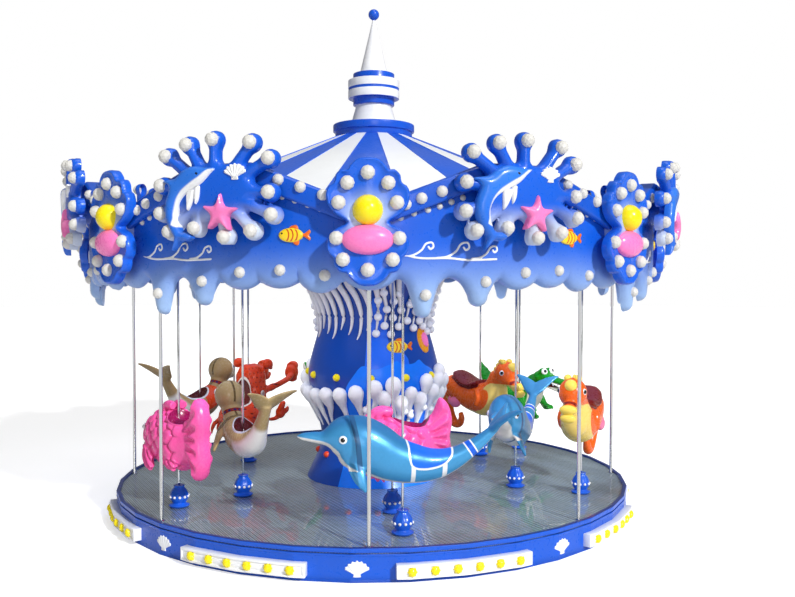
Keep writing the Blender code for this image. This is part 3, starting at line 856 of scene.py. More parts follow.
def lathe(bm: BMesh, profile: Sequence[Point], sides: int, closed: bool = False,
          start: float = 0.0, sweep: float = math.tau) -> list[bmesh.types.BMVert]:
    """Turns a profile of (radius, height) points about Z.

    Args:
        bm: Where the shape goes.
        profile: The points, from one end to the other.
        sides: How many steps the sweep has.
        closed: Whether the profile runs back to its start.
        start: The angle of the first section.
        sweep: How far it turns.

    Returns:
        The new points.
    """
    known = len(bm.verts)
    verts = [bm.verts.new(place(start, radius, height)) for radius, height in profile]
    pairs = list(zip(verts, verts[1:])) + ([(verts[-1], verts[0])] if closed else [])
    edges = [bm.edges.new(pair) for pair in pairs]
    bmesh.ops.spin(bm, geom=verts + edges, axis=(0, 0, 1), cent=(0, 0, 0), angle=sweep, steps=sides,
                   use_merge=sweep == math.tau)
    bm.verts.ensure_lookup_table()
    return bm.verts[known:]


def stamped(bm: BMesh, template: Mesh, spots: Iterable[Matrix]) -> None:
    """Adds a copy of a template at each spot.

    Args:
        bm: Where the shape goes.
        template: The mesh that is copied.
        spots: A matrix for each copy.
    """
    for spot in spots:
        known = len(bm.verts)
        bm.from_mesh(template)
        bm.verts.ensure_lookup_table()
        bmesh.ops.transform(bm, matrix=spot, verts=bm.verts[known:])


def cut_off(bm: BMesh, height: float) -> None:
    """Cuts away what lies under a height, and fills the cut.

    Args:
        bm: The bmesh.
        height: The height of the cut.
    """
    whole = bm.verts[:] + bm.edges[:] + bm.faces[:]
    spot, down = (0, 0, height), (0, 0, -1)
    cut = bmesh.ops.bisect_plane(bm, geom=whole, plane_co=spot, plane_no=down, clear_outer=True)
    rim = [part for part in cut["geom_cut"] if isinstance(part, bmesh.types.BMEdge)]
    bmesh.ops.edgeloop_fill(bm, edges=rim)


def jewel_template(name: str, sink: float, detail: int = 2) -> Mesh:
    """A faceted bead of radius 1 that looks along +Z, cut off where its seat hides it.

    Args:
        name: The mesh's name.
        sink: How deep under its middle it is cut.
        detail: How many times its faces are divided.

    Returns:
        The bead, made at its first use.
    """
    found = bpy.data.meshes.get(name)
    if found:
        return found
    bm = bmesh.new()
    bmesh.ops.create_icosphere(bm, subdivisions=detail, radius=1.0)
    cut_off(bm, -sink)
    return kept_mesh(bm, name)


def facing(spot: Vector, outwards: Vector, size: float) -> Matrix:
    """A matrix that sets a bead at a spot, looking outwards."""
    turn = outwards.to_track_quat("Z", "Y").to_matrix().to_4x4()
    return Matrix.Translation(spot) @ turn @ Matrix.Scale(size, 4)


def disc(x: float, y: float, radius: float) -> Field:
    """Distance inside a circle."""
    return lambda p: radius - np.hypot(p[:, 0] - x, p[:, 1] - y)


def oval(x: float, y: float, half_wide: float, half_high: float) -> Field:
    """Distance inside an ellipse, near enough.

    Args:
        x: The middle's x.
        y: The middle's y.
        half_wide: Half its width.
        half_high: Half its height.

    Returns:
        The distance.
    """

    def inside(p: Array) -> Array:
        """Distance inside the ellipse.

        Args:
            p: The points, a row each.

        Returns:
            One distance for each point.
        """
        u, v = (p[:, 0] - x) / half_wide, (p[:, 1] - y) / half_high
        size = np.hypot(u, v) + 1e-9
        slope = np.hypot(u / half_wide, v / half_high) + 1e-9
        return size * (1 - size) / slope

    return inside


def finger(start: Point, end: Point, root: float, tip: float) -> Field:
    """Distance inside a straight finger that goes from one half width to another.

    Args:
        start: The middle of its root.
        end: The middle of its tip.
        root: The half width at its root.
        tip: The half width at its tip.

    Returns:
        The distance.
    """
    a, run = np.array(start), np.array(end) - np.array(start)

    def inside(p: Array) -> Array:
        """Distance inside the finger.

        Args:
            p: The points, a row each.

        Returns:
            One distance for each point.
        """
        along = np.clip(((p - a) @ run) / (run @ run), 0, 1)
        gap = p - a - along[:, None] * run
        return root + (tip - root) * along - np.hypot(gap[:, 0], gap[:, 1])

    return inside


def joined(fields: Sequence[Field], flow: float) -> Field:
    """Shapes that flow into each other over a given width.

    Args:
        fields: The shapes.
        flow: How wide the blend is.

    Returns:
        The distance.
    """

    def inside(p: Array) -> Array:
        """Distance inside the joined shape.

        Args:
            p: The points, a row each.

        Returns:
            One distance for each point.
        """
        total = fields[0](p)
        for shape in fields[1:]:
            other = shape(p)
            blend = np.clip(0.5 + 0.5 * (other - total) / flow, 0, 1)
            total = total * (1 - blend) + other * blend + flow * blend * (1 - blend)
        return total

    return inside


def to_stretch(p: Array, start: Array, run: Array) -> Array:
    """Distance of each point to a straight stretch of line.

    Args:
        p: The points, a row each.
        start: Where the stretch starts.
        run: The way from its start to its end.

    Returns:
        One distance for each point.
    """
    along = np.clip(((p - start) @ run) / (run @ run), 0, 1)
    gap = p - start - along[:, None] * run
    return np.hypot(gap[:, 0], gap[:, 1])


def outline(points: Sequence[Point], parts: int = 5) -> Field:
    """Distance inside a smooth closed line through the given points.

    Args:
        points: The points to pass through.
        parts: How many steps each stretch gets.

    Returns:
        The distance.
    """
    ring = smooth_curve(points, parts, closed=True)
    ahead = np.roll(ring, -1, axis=0)
    run = ahead - ring

    def inside(p: Array) -> Array:
        """Distance inside the closed line.

        Args:
            p: The points, a row each.

        Returns:
            One distance for each point.
        """
        nearest = np.full(len(p), 1e9)
        crossings = np.zeros(len(p), int)
        for a, b, d in zip(ring, ahead, run):
            nearest = np.minimum(nearest, to_stretch(p, a, d))
            spans = (a[1] > p[:, 1]) != (b[1] > p[:, 1])
            with np.errstate(divide="ignore", invalid="ignore"):
                left = p[:, 0] < a[0] + (p[:, 1] - a[1]) * d[0] / d[1]
            crossings += spans & left
        return np.where(crossings % 2 == 1, nearest, -nearest)

    return inside


def line_distance(points: Sequence[Point], parts: int = 6) -> Field:
    """Distance to a smooth open line through the given points.

    Args:
        points: The points to pass through.
        parts: How many steps each stretch gets.

    Returns:
        The distance.
    """
    knots = smooth_curve(points, parts)

    def away(p: Array) -> Array:
        """Distance to the nearest stretch."""
        return np.minimum.reduce([to_stretch(p, a, b - a) for a, b in zip(knots, knots[1:])])

    return away


def pillow(depth: Array, edge: float) -> Array:
    """A quarter-round rise over the edge width, from 0 to 1."""
    t = np.clip(depth / edge, 0, 1)
    return np.sqrt(np.clip(1 - (1 - t) ** 2, 0, 1))


def close_behind(bm: BMesh, level: float) -> None:
    """Draws an open sheet's rim to a level and fills behind it.

    Args:
        bm: The open sheet.
        level: The height of its back.
    """
    rim = [edge for edge in bm.edges if edge.is_boundary]
    grown = bmesh.ops.extrude_edge_only(bm, edges=rim)["geom"]
    verts = {part for part in grown if isinstance(part, bmesh.types.BMVert)}
    for vert in verts:
        vert.co.z = level
    edges = [part for part in grown if isinstance(part, bmesh.types.BMEdge) and set(part.verts) <= verts]
    bmesh.ops.edgeloop_fill(bm, edges=edges)


@dataclass
class Relief:
    """A raised shape worked on a flat grid: x right, y up, z outwards."""

    inside: Field
    low: Point
    high: Point
    step: float
    rise: Rise
    back: float = 0.0

    def build(self) -> BMesh:
        """The shape as a closed bmesh: its front on the grid, then its side and back.

        Returns:
            The closed shape, lying flat.
        """
        bm = bmesh.new()
        span = Vector((self.high[0] - self.low[0], self.high[1] - self.low[1]))
        columns, lines = (max(2, round(side / self.step)) for side in span)
        bmesh.ops.create_grid(bm, x_segments=columns, y_segments=lines, size=0.5)
        share = np.array([vert.co[:2] for vert in bm.verts]) + 0.5
        flat = share * np.array(span) + np.array(self.low)
        depth = self.inside(flat)
        for vert, spot in zip(bm.verts, flat):
            vert.co = (*spot, 0)
        doomed = [face for face in bm.faces if all(depth[vert.index] <= 0 for vert in face.verts)]
        bmesh.ops.delete(bm, geom=doomed, context="FACES")
        self.pull_to_edge(bm)
        flat = np.array([vert.co[:2] for vert in bm.verts])
        height = self.rise(flat, np.clip(self.inside(flat), 0, None))
        for vert, level in zip(bm.verts, height):
            vert.co.z = level
        close_behind(bm, self.back)
        return bm

    def pull_to_edge(self, bm: BMesh) -> None:
        """Moves the points that lie outside on to the outline.

        Args:
            bm: The sheet, its outer points near the outline.
        """
        verts = list(bm.verts)
        flat = np.array([vert.co[:2] for vert in verts])
        hair = self.step * 0.02
        outside = self.inside(flat) < self.step * 0.12
        outside &= np.array([vert.is_boundary for vert in verts]) | (self.inside(flat) < 0)
        moving = flat[outside]
        fixed_x = (np.abs(moving[:, 0] - self.low[0]) < 1e-6) | (np.abs(moving[:, 0] - self.high[0]) < 1e-6)
        for _ in range(4):
            depth = self.inside(moving)
            ways = ((hair, 0), (0, hair))
            steps = [self.inside(moving + way) - self.inside(moving - way) for way in ways]
            slope = np.stack(steps, axis=1) / (2 * hair)
            slope[fixed_x, 0] = 0
            size = np.maximum((slope**2).sum(axis=1), 0.05)
            moving = moving - slope * (depth / size)[:, None]
        flat[outside] = moving
        for vert, spot in zip(verts, flat):
            vert.co.x, vert.co.y = spot
        bmesh.ops.remove_doubles(bm, verts=bm.verts, dist=self.step * 0.12)


@dataclass(frozen=True)
class Wrap:
    """Bends flat work round the axis."""

    radius: float
    degrees: float = 0.0
    height: float = 0.0

    def spot(self, x: float, y: float, z: float = 0.0) -> Vector:
        """Where a flat point goes."""
        return place(math.radians(self.degrees) + x / self.radius, self.radius + z, self.height + y)

    def bend(self, bm: BMesh) -> BMesh:
        """Moves every point of a flat shape to its place.

        Args:
            bm: The flat shape.

        Returns:
            The same bmesh.
        """
        for vert in bm.verts:
            vert.co = self.spot(*vert.co)
        return bm


@dataclass(frozen=True)
class Tube:
    """A round bar along a smooth path, thick or thin where its radii say."""

    path: Sequence[Sequence[float]]
    radii: Sequence[float]
    sides: int = 10
    parts: int = 4

    def build(self, bm: BMesh) -> None:
        """Adds the bar to a bmesh."""
        rows = smooth_curve([(*spot, radius) for spot, radius in zip(self.path, self.radii)], self.parts)
        loft(bm, [(*row, row[3]) for row in rows], self.sides, Vector((0, 1, 0)))


def loft(bm: BMesh, stations: Sequence[Station], sides: int,
         across: Vector = Vector((0, 1, 0))) -> None:
    """Adds a closed body through stations of x, y, z, half width and half height.

    Args:
        bm: Where the body goes.
        stations: The sections along its path.
        sides: How many sides a section has.
        across: The way that the half width is measured, as near as the path lets it.
    """
    centres = [Vector(station[:3]) for station in stations]
    last = len(centres) - 1
    frames = []
    for i, station in enumerate(stations):
        ahead = (centres[min(i + 1, last)] - centres[max(i - 1, 0)]).normalized()
        side = (across - ahead * across.dot(ahead)).normalized()
        rise = ahead.cross(side)
        half_wide, half_high = max(station[3], 1e-4), max(station[4], 1e-4)
        frame_now = Matrix.Identity(4)
        for column, axis in enumerate((side * half_wide, rise * half_high, ahead)):
            for row in range(3):
                frame_now[row][column] = axis[row]
        frame_now.translation = centres[i]
        frames.append(frame_now)
    ring = bmesh.ops.create_circle(bm, segments=sides, radius=1, matrix=frames[0])["verts"]
    edges = list({edge for vert in ring for edge in vert.link_edges})
    bmesh.ops.edgeloop_fill(bm, edges=edges)
    for before, after in zip(frames, frames[1:]):
        grown = bmesh.ops.extrude_edge_only(bm, edges=edges)["geom"]
        ring = [part for part in grown if isinstance(part, bmesh.types.BMVert)]
        known = set(ring)
        lines = [part for part in grown if isinstance(part, bmesh.types.BMEdge)]
        edges = [line for line in lines if set(line.verts) <= known]
        bmesh.ops.transform(bm, matrix=after @ before.inverted(), verts=ring)
    bmesh.ops.edgeloop_fill(bm, edges=edges)


def bored(mesh: Mesh, spots: Sequence[Vector], radii: Sequence[float]) -> Mesh:
    """The mesh with upright round holes through it.

    Args:
        mesh: A closed mesh.
        spots: Where each hole is.
        radii: Each hole's radius.

    Returns:
        The mesh with its holes, and its materials kept.
    """
    drill = bmesh.new()
    for spot, radius in zip(spots, radii):
        bmesh.ops.create_cone(drill, cap_ends=True, segments=24, radius1=radius, radius2=radius, depth=2.0,
                              matrix=Matrix.Translation(spot))
    bits = bpy.data.objects.new("drill", kept_mesh(drill, "drill"))
    link(bits)
    made = made_by(mesh, "BOOLEAN", object=bits, operation="DIFFERENCE", solver="EXACT")
    bpy.data.objects.remove(bits, do_unlink=True)
    return smoothed(made, 35)


def scallop(bm: BMesh, size: float, rise: float, back: float) -> BMesh:
    """A small raised fan shell, lying flat round its middle.

    Args:
        bm: Where the shape goes.
        size: Half its height.
        rise: How far it stands out.
        back: How far back it goes.

    Returns:
        The same bmesh.
    """
    ribs, spread, hinge = 7, 62.0, -0.8
    points = []
    for k in range(29):
        turn = math.radians(spread * (1 - 2 * k / 28))
        lobe = 1 + 0.05 * math.cos(ribs * 2 * math.pi * k / 28 + math.pi)
        reach = 1.72 * math.cos(turn * 0.35) * lobe
        points.append((-reach * math.sin(turn), hinge + reach * math.cos(turn)))
    points += [(0.40, -0.55), (0.46, -0.88), (0.0, -0.93), (-0.46, -0.88), (-0.40, -0.55)]
    inside = outline([(x * size, y * size) for x, y in points], 2)

    def relief(p: Array, depth: Array) -> Array:
        """Flutes that run out to a rolled edge.

        Args:
            p: The points, a row each.
            depth: How far inside the outline each point is.

        Returns:
            One height for each point.
        """
        turn = np.arctan2(p[:, 0], p[:, 1] - hinge * size)
        flute = 0.5 + 0.5 * np.cos(turn / math.radians(spread) * math.pi * ribs)
        swell = 0.35 + 0.65 * flute * pillow(depth, size * 0.2)
        return rise * swell * (0.3 + 0.7 * pillow(depth, size * 0.06))

    made = Relief(inside, (-1.6 * size, -size), (1.6 * size, size), size * 0.045, relief, back).build()
    bm.from_mesh(kept_mesh(made, "scallop"))
    return bm


@dataclass
class Skirt:
    """The fixed fascia under the deck's rim, with its trough lights and emblems."""

    sides: int = 36
    corner: float = -3.0
    radius: float = 2.78
    wall: float = 0.03
    top: float = 0.235
    bays: int = 9
    trough_angles: Point = (4.6, 29.4)
    trough_radius: float = 2.85
    trough_heights: Point = (0.046, 0.162)
    trough_frame: float = 0.018
    trough_depth: float = 0.012
    bulbs: int = 6
    bulb_angles: Point = (7.2, 26.8)
    bulb_size: float = 0.040
    emblem_angle: float = -2.0
    emblem_height: float = 0.112
    emblem_size: float = 0.072
    body: str = "base"

    def flat(self, degrees: float, corner_radius: float) -> float:
        """The radius of the flat sides at an angle, for a radius at the corners.

        Args:
            degrees: The angle round the axis.
            corner_radius: The radius at the corners.

        Returns:
            The radius there.
        """
        half = 180 / self.sides
        off = (degrees - self.corner) % (2 * half) - half
        return corner_radius * math.cos(math.radians(half)) / math.cos(math.radians(off))

    def build_fascia(self) -> None:
        """The many-sided wall with a rounded top edge and a foot bead."""
        bm = bmesh.new()
        profile = eased([
            (self.radius - 0.01, 0.0), (self.radius, 0.0), (self.radius, 0.014),
            (self.radius - 0.005, 0.018), (self.radius - 0.005, self.top - 0.02),
            (self.radius, self.top - 0.016), (self.radius, self.top), (self.radius - self.wall, self.top),
            (self.radius - self.wall, 0.0), (self.radius - 0.012, 0.0)], 0.003)
        lathe(bm, profile, self.sides, closed=True, start=math.radians(self.corner))
        add_piece("skirt_fascia", bm, [Finishes.fascia], self.body, ["skirt_1", "skirt_2", "skirt_3"], 4)

    def trough(self) -> BMesh:
        """One trough: a long box with a framed recess in its face, bent along the flats.

        Returns:
            The trough at its place in the first bay.
        """
        start, end = (math.radians(a) for a in self.trough_angles)
        low, high = self.trough_heights
        inner = self.radius - self.wall / 2
        bm = bmesh.new()
        bmesh.ops.create_cube(bm, size=1)
        bmesh.ops.scale(bm, vec=(end - start, self.trough_radius - inner, high - low), verts=bm.verts)
        bmesh.ops.scale(bm, vec=(self.trough_radius, 1, 1), verts=bm.verts)
        face = min(bm.faces, key=lambda side: side.calc_center_median().y)
        for thickness, depth in ((self.trough_frame, 0.0), (0.006, self.trough_depth), (0.014, 0.0),
                                 (0.004, -0.006)):
            bmesh.ops.inset_region(
                bm, faces=[face], thickness=thickness, depth=-depth, use_even_offset=True)
        half = (high - low) / 2
        outer = [edge for edge in bm.edges if all(abs(abs(vert.co.z) - half) < 1e-6 for vert in edge.verts)]
        bmesh.ops.bevel(bm, geom=outer, offset=0.005, segments=2, profile=0.5, affect="EDGES", material=-1)
        middle = (start + end) / 2
        step = math.tau / self.sides
        for k in range(-2, 8):
            corner = math.radians(self.corner) + k * step
            if start < corner < end:
                whole = bm.verts[:] + bm.edges[:] + bm.faces[:]
                spot = ((corner - middle) * self.trough_radius, 0, 0)
                bmesh.ops.bisect_plane(bm, geom=whole, plane_co=spot, plane_no=(1, 0, 0))
        half_deep = (self.trough_radius - inner) / 2
        for vert in bm.verts:
            angle = middle + vert.co.x / self.trough_radius
            reach = self.trough_radius - half_deep - vert.co.y
            vert.co = place(angle, self.flat(math.degrees(angle), reach), (low + high) / 2 + vert.co.z)
        return bm

    def bulb(self) -> Mesh:
        """A half-round bulb with eight petals, looking along +Z.

        Returns:
            The bulb, of radius 1.
        """
        bm = bmesh.new()
        bmesh.ops.create_uvsphere(bm, u_segments=16, v_segments=8, radius=1)
        cut_off(bm, -0.3)
        for vert in bm.verts:
            turn = math.atan2(vert.co.y, vert.co.x)
            ripple = 1 + 0.10 * math.cos(8 * turn) * math.hypot(vert.co.x, vert.co.y)
            vert.co.x *= ripple
            vert.co.y *= ripple
            vert.co.z *= 0.8
        return kept_mesh(bm, "petal_bulb")

    def build_lights(self) -> None:
        """The troughs, and the bulbs in each."""
        troughs, bulbs = bmesh.new(), bmesh.new()
        one = kept_mesh(self.trough(), "trough")
        petal = self.bulb()
        first, last = self.bulb_angles
        height = sum(self.trough_heights) / 2
        for k in range(self.bays):
            bay = 360 / self.bays * k
            stamped(troughs, one, [Matrix.Rotation(math.radians(bay), 4, "Z")])
            for i in range(self.bulbs):
                degrees = bay + first + (last - first) * i / (self.bulbs - 1)
                reach = self.flat(degrees, self.trough_radius) - self.trough_depth + 0.006
                outwards = place(math.radians(degrees), 1)
                spot = place(math.radians(degrees), reach, height)
                stamped(bulbs, petal, [facing(spot, outwards, self.bulb_size)])
        add_piece("trough_lights", troughs, [Finishes.trough], self.body, crease=25)
        add_piece("trough_bulbs", bulbs, [Finishes.bulb], self.body, crease=50)

    def build_emblems(self) -> None:
        """A fan shell between every two troughs."""
        shape = scallop(bmesh.new(), self.emblem_size, 0.008, -0.004)
        for vert in shape.verts:
            angle = math.radians(self.emblem_angle) + vert.co.x / self.radius
            reach = self.flat(math.degrees(angle), self.radius) - 0.004 + vert.co.z
            vert.co = place(angle, reach, self.emblem_height + vert.co.y)
        mesh = mesh_of(shape, "skirt_emblem", [Finishes.emblem], 50, kept=0.4)
        copied_round(mesh, "skirt_emblem", self.bays, self.body, Finishes.emblem.slot)

    def build(self) -> None:
        """Everything on the standing skirt."""
        self.build_fascia()
        self.build_lights()
        self.build_emblems()


@dataclass
class Deck:
    """The turning deck: ribbed plate, blue rim and a pedestal round each pole."""

    top: float = 0.27
    bottom: float = 0.224
    plate_radius: float = 2.75
    pitch: float = 0.04
    rib: float = 0.0025
    ribs_turn: float = 28.0
    rim_sides: int = 36
    rim_corner: float = -3.0
    bore: float = 0.013
    hub_bore: float = 0.124
    bead_size: float = 0.0140
    bead_place: Point = (0.088, 0.106)
    petal_start: float = 0.100
    petal_depth: float = 0.10
    beads: int = 11
    circles: Point = (OUTER_CIRCLE, INNER_CIRCLE)
    angles: tuple[float, ...] = POLE_ANGLES
    pedestal: tuple[Point, ...] = (
        (0.0125, 0.0), (0.082, 0.0), (0.096, 0.014), (0.097, 0.022), (0.078, 0.030), (0.064, 0.040),
        (0.066, 0.050), (0.084, 0.078), (0.090, 0.104), (0.086, 0.130), (0.068, 0.166), (0.050, 0.188),
        (0.046, 0.196), (0.052, 0.208), (0.050, 0.214), (0.0125, 0.212))

    def pole_spots(self) -> list[Vector]:
        """Where the poles come through."""
        return [place(math.radians(a), circle) for circle in self.circles for a in self.angles]

    def build_plate(self) -> None:
        """A disc with straight ribs right across it, bored for the poles and the spindle."""
        count = int(2 * self.plate_radius / self.pitch)
        levels, heights = [], []
        for k in range(count):
            start = -self.plate_radius + self.pitch * (k + 0.25)
            for share, lift in ((0.0, 0.0), (0.08, self.rib), (0.5, self.rib), (0.58, 0.0)):
                levels.append(start + share * self.pitch)
                heights.append(self.top - self.rib + lift)
        levels = [-self.plate_radius, *levels, self.plate_radius]
        heights = [heights[0], *heights, heights[0]]
        bm = bmesh.new()
        bmesh.ops.create_grid(bm, x_segments=len(levels) - 1, y_segments=1, size=0.5)
        last = len(levels) - 1
        for vert in bm.verts:
            i = round((vert.co.x + 0.5) * last)
            half = math.sqrt(max(self.plate_radius**2 - levels[i] ** 2, 1e-4))
            vert.co = (levels[i], math.copysign(half, vert.co.y), heights[i])
        close_behind(bm, self.bottom)
        turn = Matrix.Rotation(math.radians(self.ribs_turn), 3, "Z")
        bmesh.ops.rotate(bm, cent=(0, 0, 0), matrix=turn, verts=bm.verts)
        mesh = mesh_of(bm, "deck_plate", [Finishes.deck], 20)
        spots = self.pole_spots()
        mesh = bored(mesh, [*spots, Vector((0, 0, 0))], [self.bore] * len(spots) + [self.hub_bore])
        new_object("deck_plate", mesh, ROTOR, ["deck"], Finishes.deck.slot)

    def build_rim(self) -> None:
        """The many-sided edge with its dark lip."""
        bm = bmesh.new()
        profile = eased([
            (2.72, 0.243), (2.772, 0.243), (2.772, 0.250), (2.78, 0.250), (2.78, 0.282), (2.776, 0.287),
            (2.744, 0.287), (2.738, 0.281), (2.738, 0.262), (2.72, 0.262), (2.72, 0.250)], 0.002)
        lathe(bm, profile, self.rim_sides, closed=True, start=math.radians(self.rim_corner))
        for face in bm.faces:
            spot = face.calc_center_median()
            face.material_index = 1 if spot.z > 0.2835 or math.hypot(spot.x, spot.y) < 2.745 else 0
        add_piece("deck_rim", bm, [Finishes.rim, Finishes.lip], ROTOR, ["deck"], 4)

    def build_pedestals(self) -> None:
        """Petalled vases round the poles, each with a ring of beads."""
        vase, beads = bmesh.new(), bmesh.new()
        rows = [tuple(row) for row in smooth_curve(self.pedestal[1:-1], 3)]
        lathe(vase, [self.pedestal[0], *rows, self.pedestal[-1]], 48, closed=True)
        for vert in vase.verts:
            rise = min(max((vert.co.z - self.petal_start) / 0.06, 0), 1)
            turn = math.atan2(vert.co.y, vert.co.x)
            if math.hypot(vert.co.x, vert.co.y) > 0.02:
                ripple = 1 + self.petal_depth * rise * (abs(math.cos(4 * turn)) - 0.6)
                vert.co.x *= ripple
                vert.co.y *= ripple
        one = kept_mesh(vase, "pedestal")
        bead = jewel_template("bead", 0.35, 2)
        whole = bmesh.new()
        for spot in self.pole_spots():
            foot = spot + Vector((0, 0, self.top - 0.001))
            stamped(whole, one, [Matrix.Translation(foot)])
            for k in range(self.beads):
                side = place(math.tau * (k + 0.5) / self.beads, 1)
                out, up = self.bead_place
                stamped(beads, bead, [facing(foot + side * out + Vector((0, 0, up)), side, self.bead_size)])
        add_piece("pedestals", whole, [Finishes.pedestal], ROTOR, ["deck"], 50, 0.45)
        add_piece("pedestal_beads", beads, [Finishes.bead], ROTOR, crease=60)

    def build(self) -> None:
        """Plate, rim and pedestals."""
        self.build_plate()
        self.build_rim()
        self.build_pedestals()


@dataclass
class Posts:
    """The eight posts at the rim, with a foot ring and a head ring each."""

    count: int = 8
    circle: float = 2.70
    radius: float = 0.0165
    low: float = 0.2703
    high: float = 2.5297

    def build(self) -> None:
        """One piece for each post."""
        bm = bmesh.new()
        flange, thin = self.radius + 0.013, 0.008
        profile = eased([(0.0005, self.low), (flange, self.low), (flange, self.low + thin),
                         (self.radius, self.low + thin + 0.004), (self.radius, self.high - thin - 0.004),
                         (flange, self.high - thin), (flange, self.high), (0.0005, self.high)], 0.003)
        lathe(bm, profile, 20)
        bmesh.ops.translate(bm, vec=place(0, self.circle), verts=bm.verts)
        bmesh.ops.holes_fill(bm, edges=bm.edges, sides=30)
        mesh = mesh_of(bm, "post", [Finishes.steel], 35)
        copied_round(mesh, "rim_post", self.count, ROTOR, Finishes.steel.slot, "post")


@dataclass
class Column:
    """The vase-shaped centre column with its painted waves, foam and hanging strings."""

    foot: float = 0.2703
    head: float = 2.5297
    profile: tuple[Point, ...] = ((0.745, 0.0), (0.70, 0.10), (0.62, 0.28), (0.585, 0.42), (0.60, 0.56),
                                  (0.66, 0.76), (0.71, 0.97), (0.734, 1.12), (0.72, 1.26), (0.675, 1.44),
                                  (0.630, 1.60), (0.618, 1.70), (0.64, 1.90), (0.70, 2.10), (0.78, 2.26))
    sides: int = 144
    repeat: float = 180.0
    azure_edge: tuple[Point, ...] = (
        (-30, 0.2), (-27, 1.0), (-24.5, 1.25), (-22, 1.35), (-16, 1.46), (-10.7, 1.549), (-5.7, 1.56),
        (-2, 1.531), (4, 1.527), (10, 1.555), (17, 1.585), (21.5, 1.612), (25.5, 1.575), (33, 1.57),
        (39, 1.58), (45, 1.612), (51, 1.55), (60, 1.50), (72, 1.38), (82, 1.20), (88, 0.9), (92, 0.2))
    royal_edge: tuple[Point, ...] = (
        (-8, 1.2), (-3, 2.2), (13, 2.2), (15, 1.78), (24, 1.70), (33, 1.62), (36, 1.2))
    drops: tuple[Point3, ...] = (
        (-83, 1.25, 0.9), (-69, 1.24, 0.95), (-55, 1.235, 0.9), (-41, 1.25, 1.0), (-27, 1.26, 1.0),
        (-13, 1.285, 1.08), (2, 1.34, 1.05), (9.5, 1.235, 1.05), (16.5, 1.365, 1.12), (24, 1.185, 1.0),
        (32.5, 1.275, 0.9), (42.5, 1.205, 1.0), (47.5, 1.385, 0.95), (58, 1.27, 1.0), (65, 1.385, 0.95),
        (68.5, 1.475, 0.85), (74, 1.23, 0.95), (81, 1.36, 0.95), (88, 1.24, 0.9))
    froth: tuple[Point, ...] = (
        (-6, 1.10), (28.5, 1.07), (35, 1.02), (50, 1.09), (63, 1.05), (70, 1.12), (80, 1.08))
    strings: tuple[Point, ...] = ((3, 1.90), (11, 1.98), (17, 1.89), (25, 1.97), (34, 2.03), (42, 1.95),
                                  (50, 2.02), (56, 1.96), (63, 1.90), (71, 1.97), (79, 1.91), (87, 1.99))
    tendrils: int = 10
    bead: float = 0.044
    froth_bead: float = 0.040
    dots: int = 12
    yellow_dot: Point3 = (-1.5, 1.43, 0.042)
    red_dot: Point3 = (5.0, 0.555, 0.037)
    fish_spot: Point = (25.6, 1.755)
    disc_spot: Point = (57.0, 1.81)

    @cached_property
    def curve(self) -> Array:
        """The smooth profile as (radius, height) rows."""
        scale = (self.head - self.foot) / self.profile[-1][1]
        return smooth_curve([(radius, self.foot + rise * scale) for radius, rise in self.profile], 5)

    def radius_at(self, height: float) -> float:
        """The column's radius at a height."""
        rows = self.curve
        return float(np.interp(height, rows[:, 1], rows[:, 0]))

    def spot(self, degrees: float, height: float, proud: float = 0.0) -> Vector:
        """A point on the column's side, or proud of it."""
        return place(math.radians(degrees), self.radius_at(height) + proud, height)

    def outwards(self, degrees: float, height: float) -> Vector:
        """The way straight out of the column's side."""
        slope = (self.radius_at(height + 0.02) - self.radius_at(height - 0.02)) / 0.04
        return (place(math.radians(degrees), 1) - Vector((0, 0, slope))).normalized()

    def build_body(self) -> None:
        """The turned vase with its painted wave zones."""
        bm = bmesh.new()
        rows = [tuple(row) for row in self.curve]
        lathe(bm, [(0.0, self.foot), *rows, (0.0, self.head)], self.sides)
        mesh = mesh_of(bm, "column_body", [Finishes.column], 50)
        points = mesh_points(mesh)
        degrees = np.degrees(np.arctan2(points[:, 0], -points[:, 1]))
        turned = (degrees + 90) % self.repeat - 90
        for name, edge in (("azure", self.azure_edge), ("royal", self.royal_edge)):
            knots = smooth_curve(edge, 4)
            order = np.argsort(knots[:, 0])
            line = np.interp(turned, knots[order, 0], knots[order, 1], left=0.0, right=0.0)
            set_attribute(mesh, name, line - points[:, 2])
        new_object("column_body", mesh, ROTOR, ["column"], Finishes.column.slot)

    def on_side(self, flat: BMesh, degrees: float) -> None:
        """Bends flat work on to the column: x along it, y the height, z proud of it.

        Args:
            flat: The flat work.
            degrees: Where its x is 0.
        """
        for vert in flat.verts:
            x, height, proud = vert.co
            reach = self.radius_at(height)
            spot = place(math.radians(degrees) + x / reach, reach, height)
            vert.co = spot + self.outwards(degrees, height) * proud

    def hang(self, whole: BMesh, degrees: float, bar: Tube) -> None:
        """Adds a bar to a bmesh, bent on to the column's side.

        Args:
            whole: Where the bar goes.
            degrees: Its place round the axis.
            bar: The bar, with x along the side, y its height and z how far it stands proud.
        """
        piece = bmesh.new()
        bar.build(piece)
        self.on_side(piece, degrees)
        merge(whole, piece)

    def twice(self, name: str, bm: BMesh, finish: Finish, crease: float) -> None:
        """The shape and its copy on the far side, as pieces."""
        mesh = mesh_of(bm, name, [finish], crease)
        copied_round(mesh, name, 2, ROTOR, finish.slot)

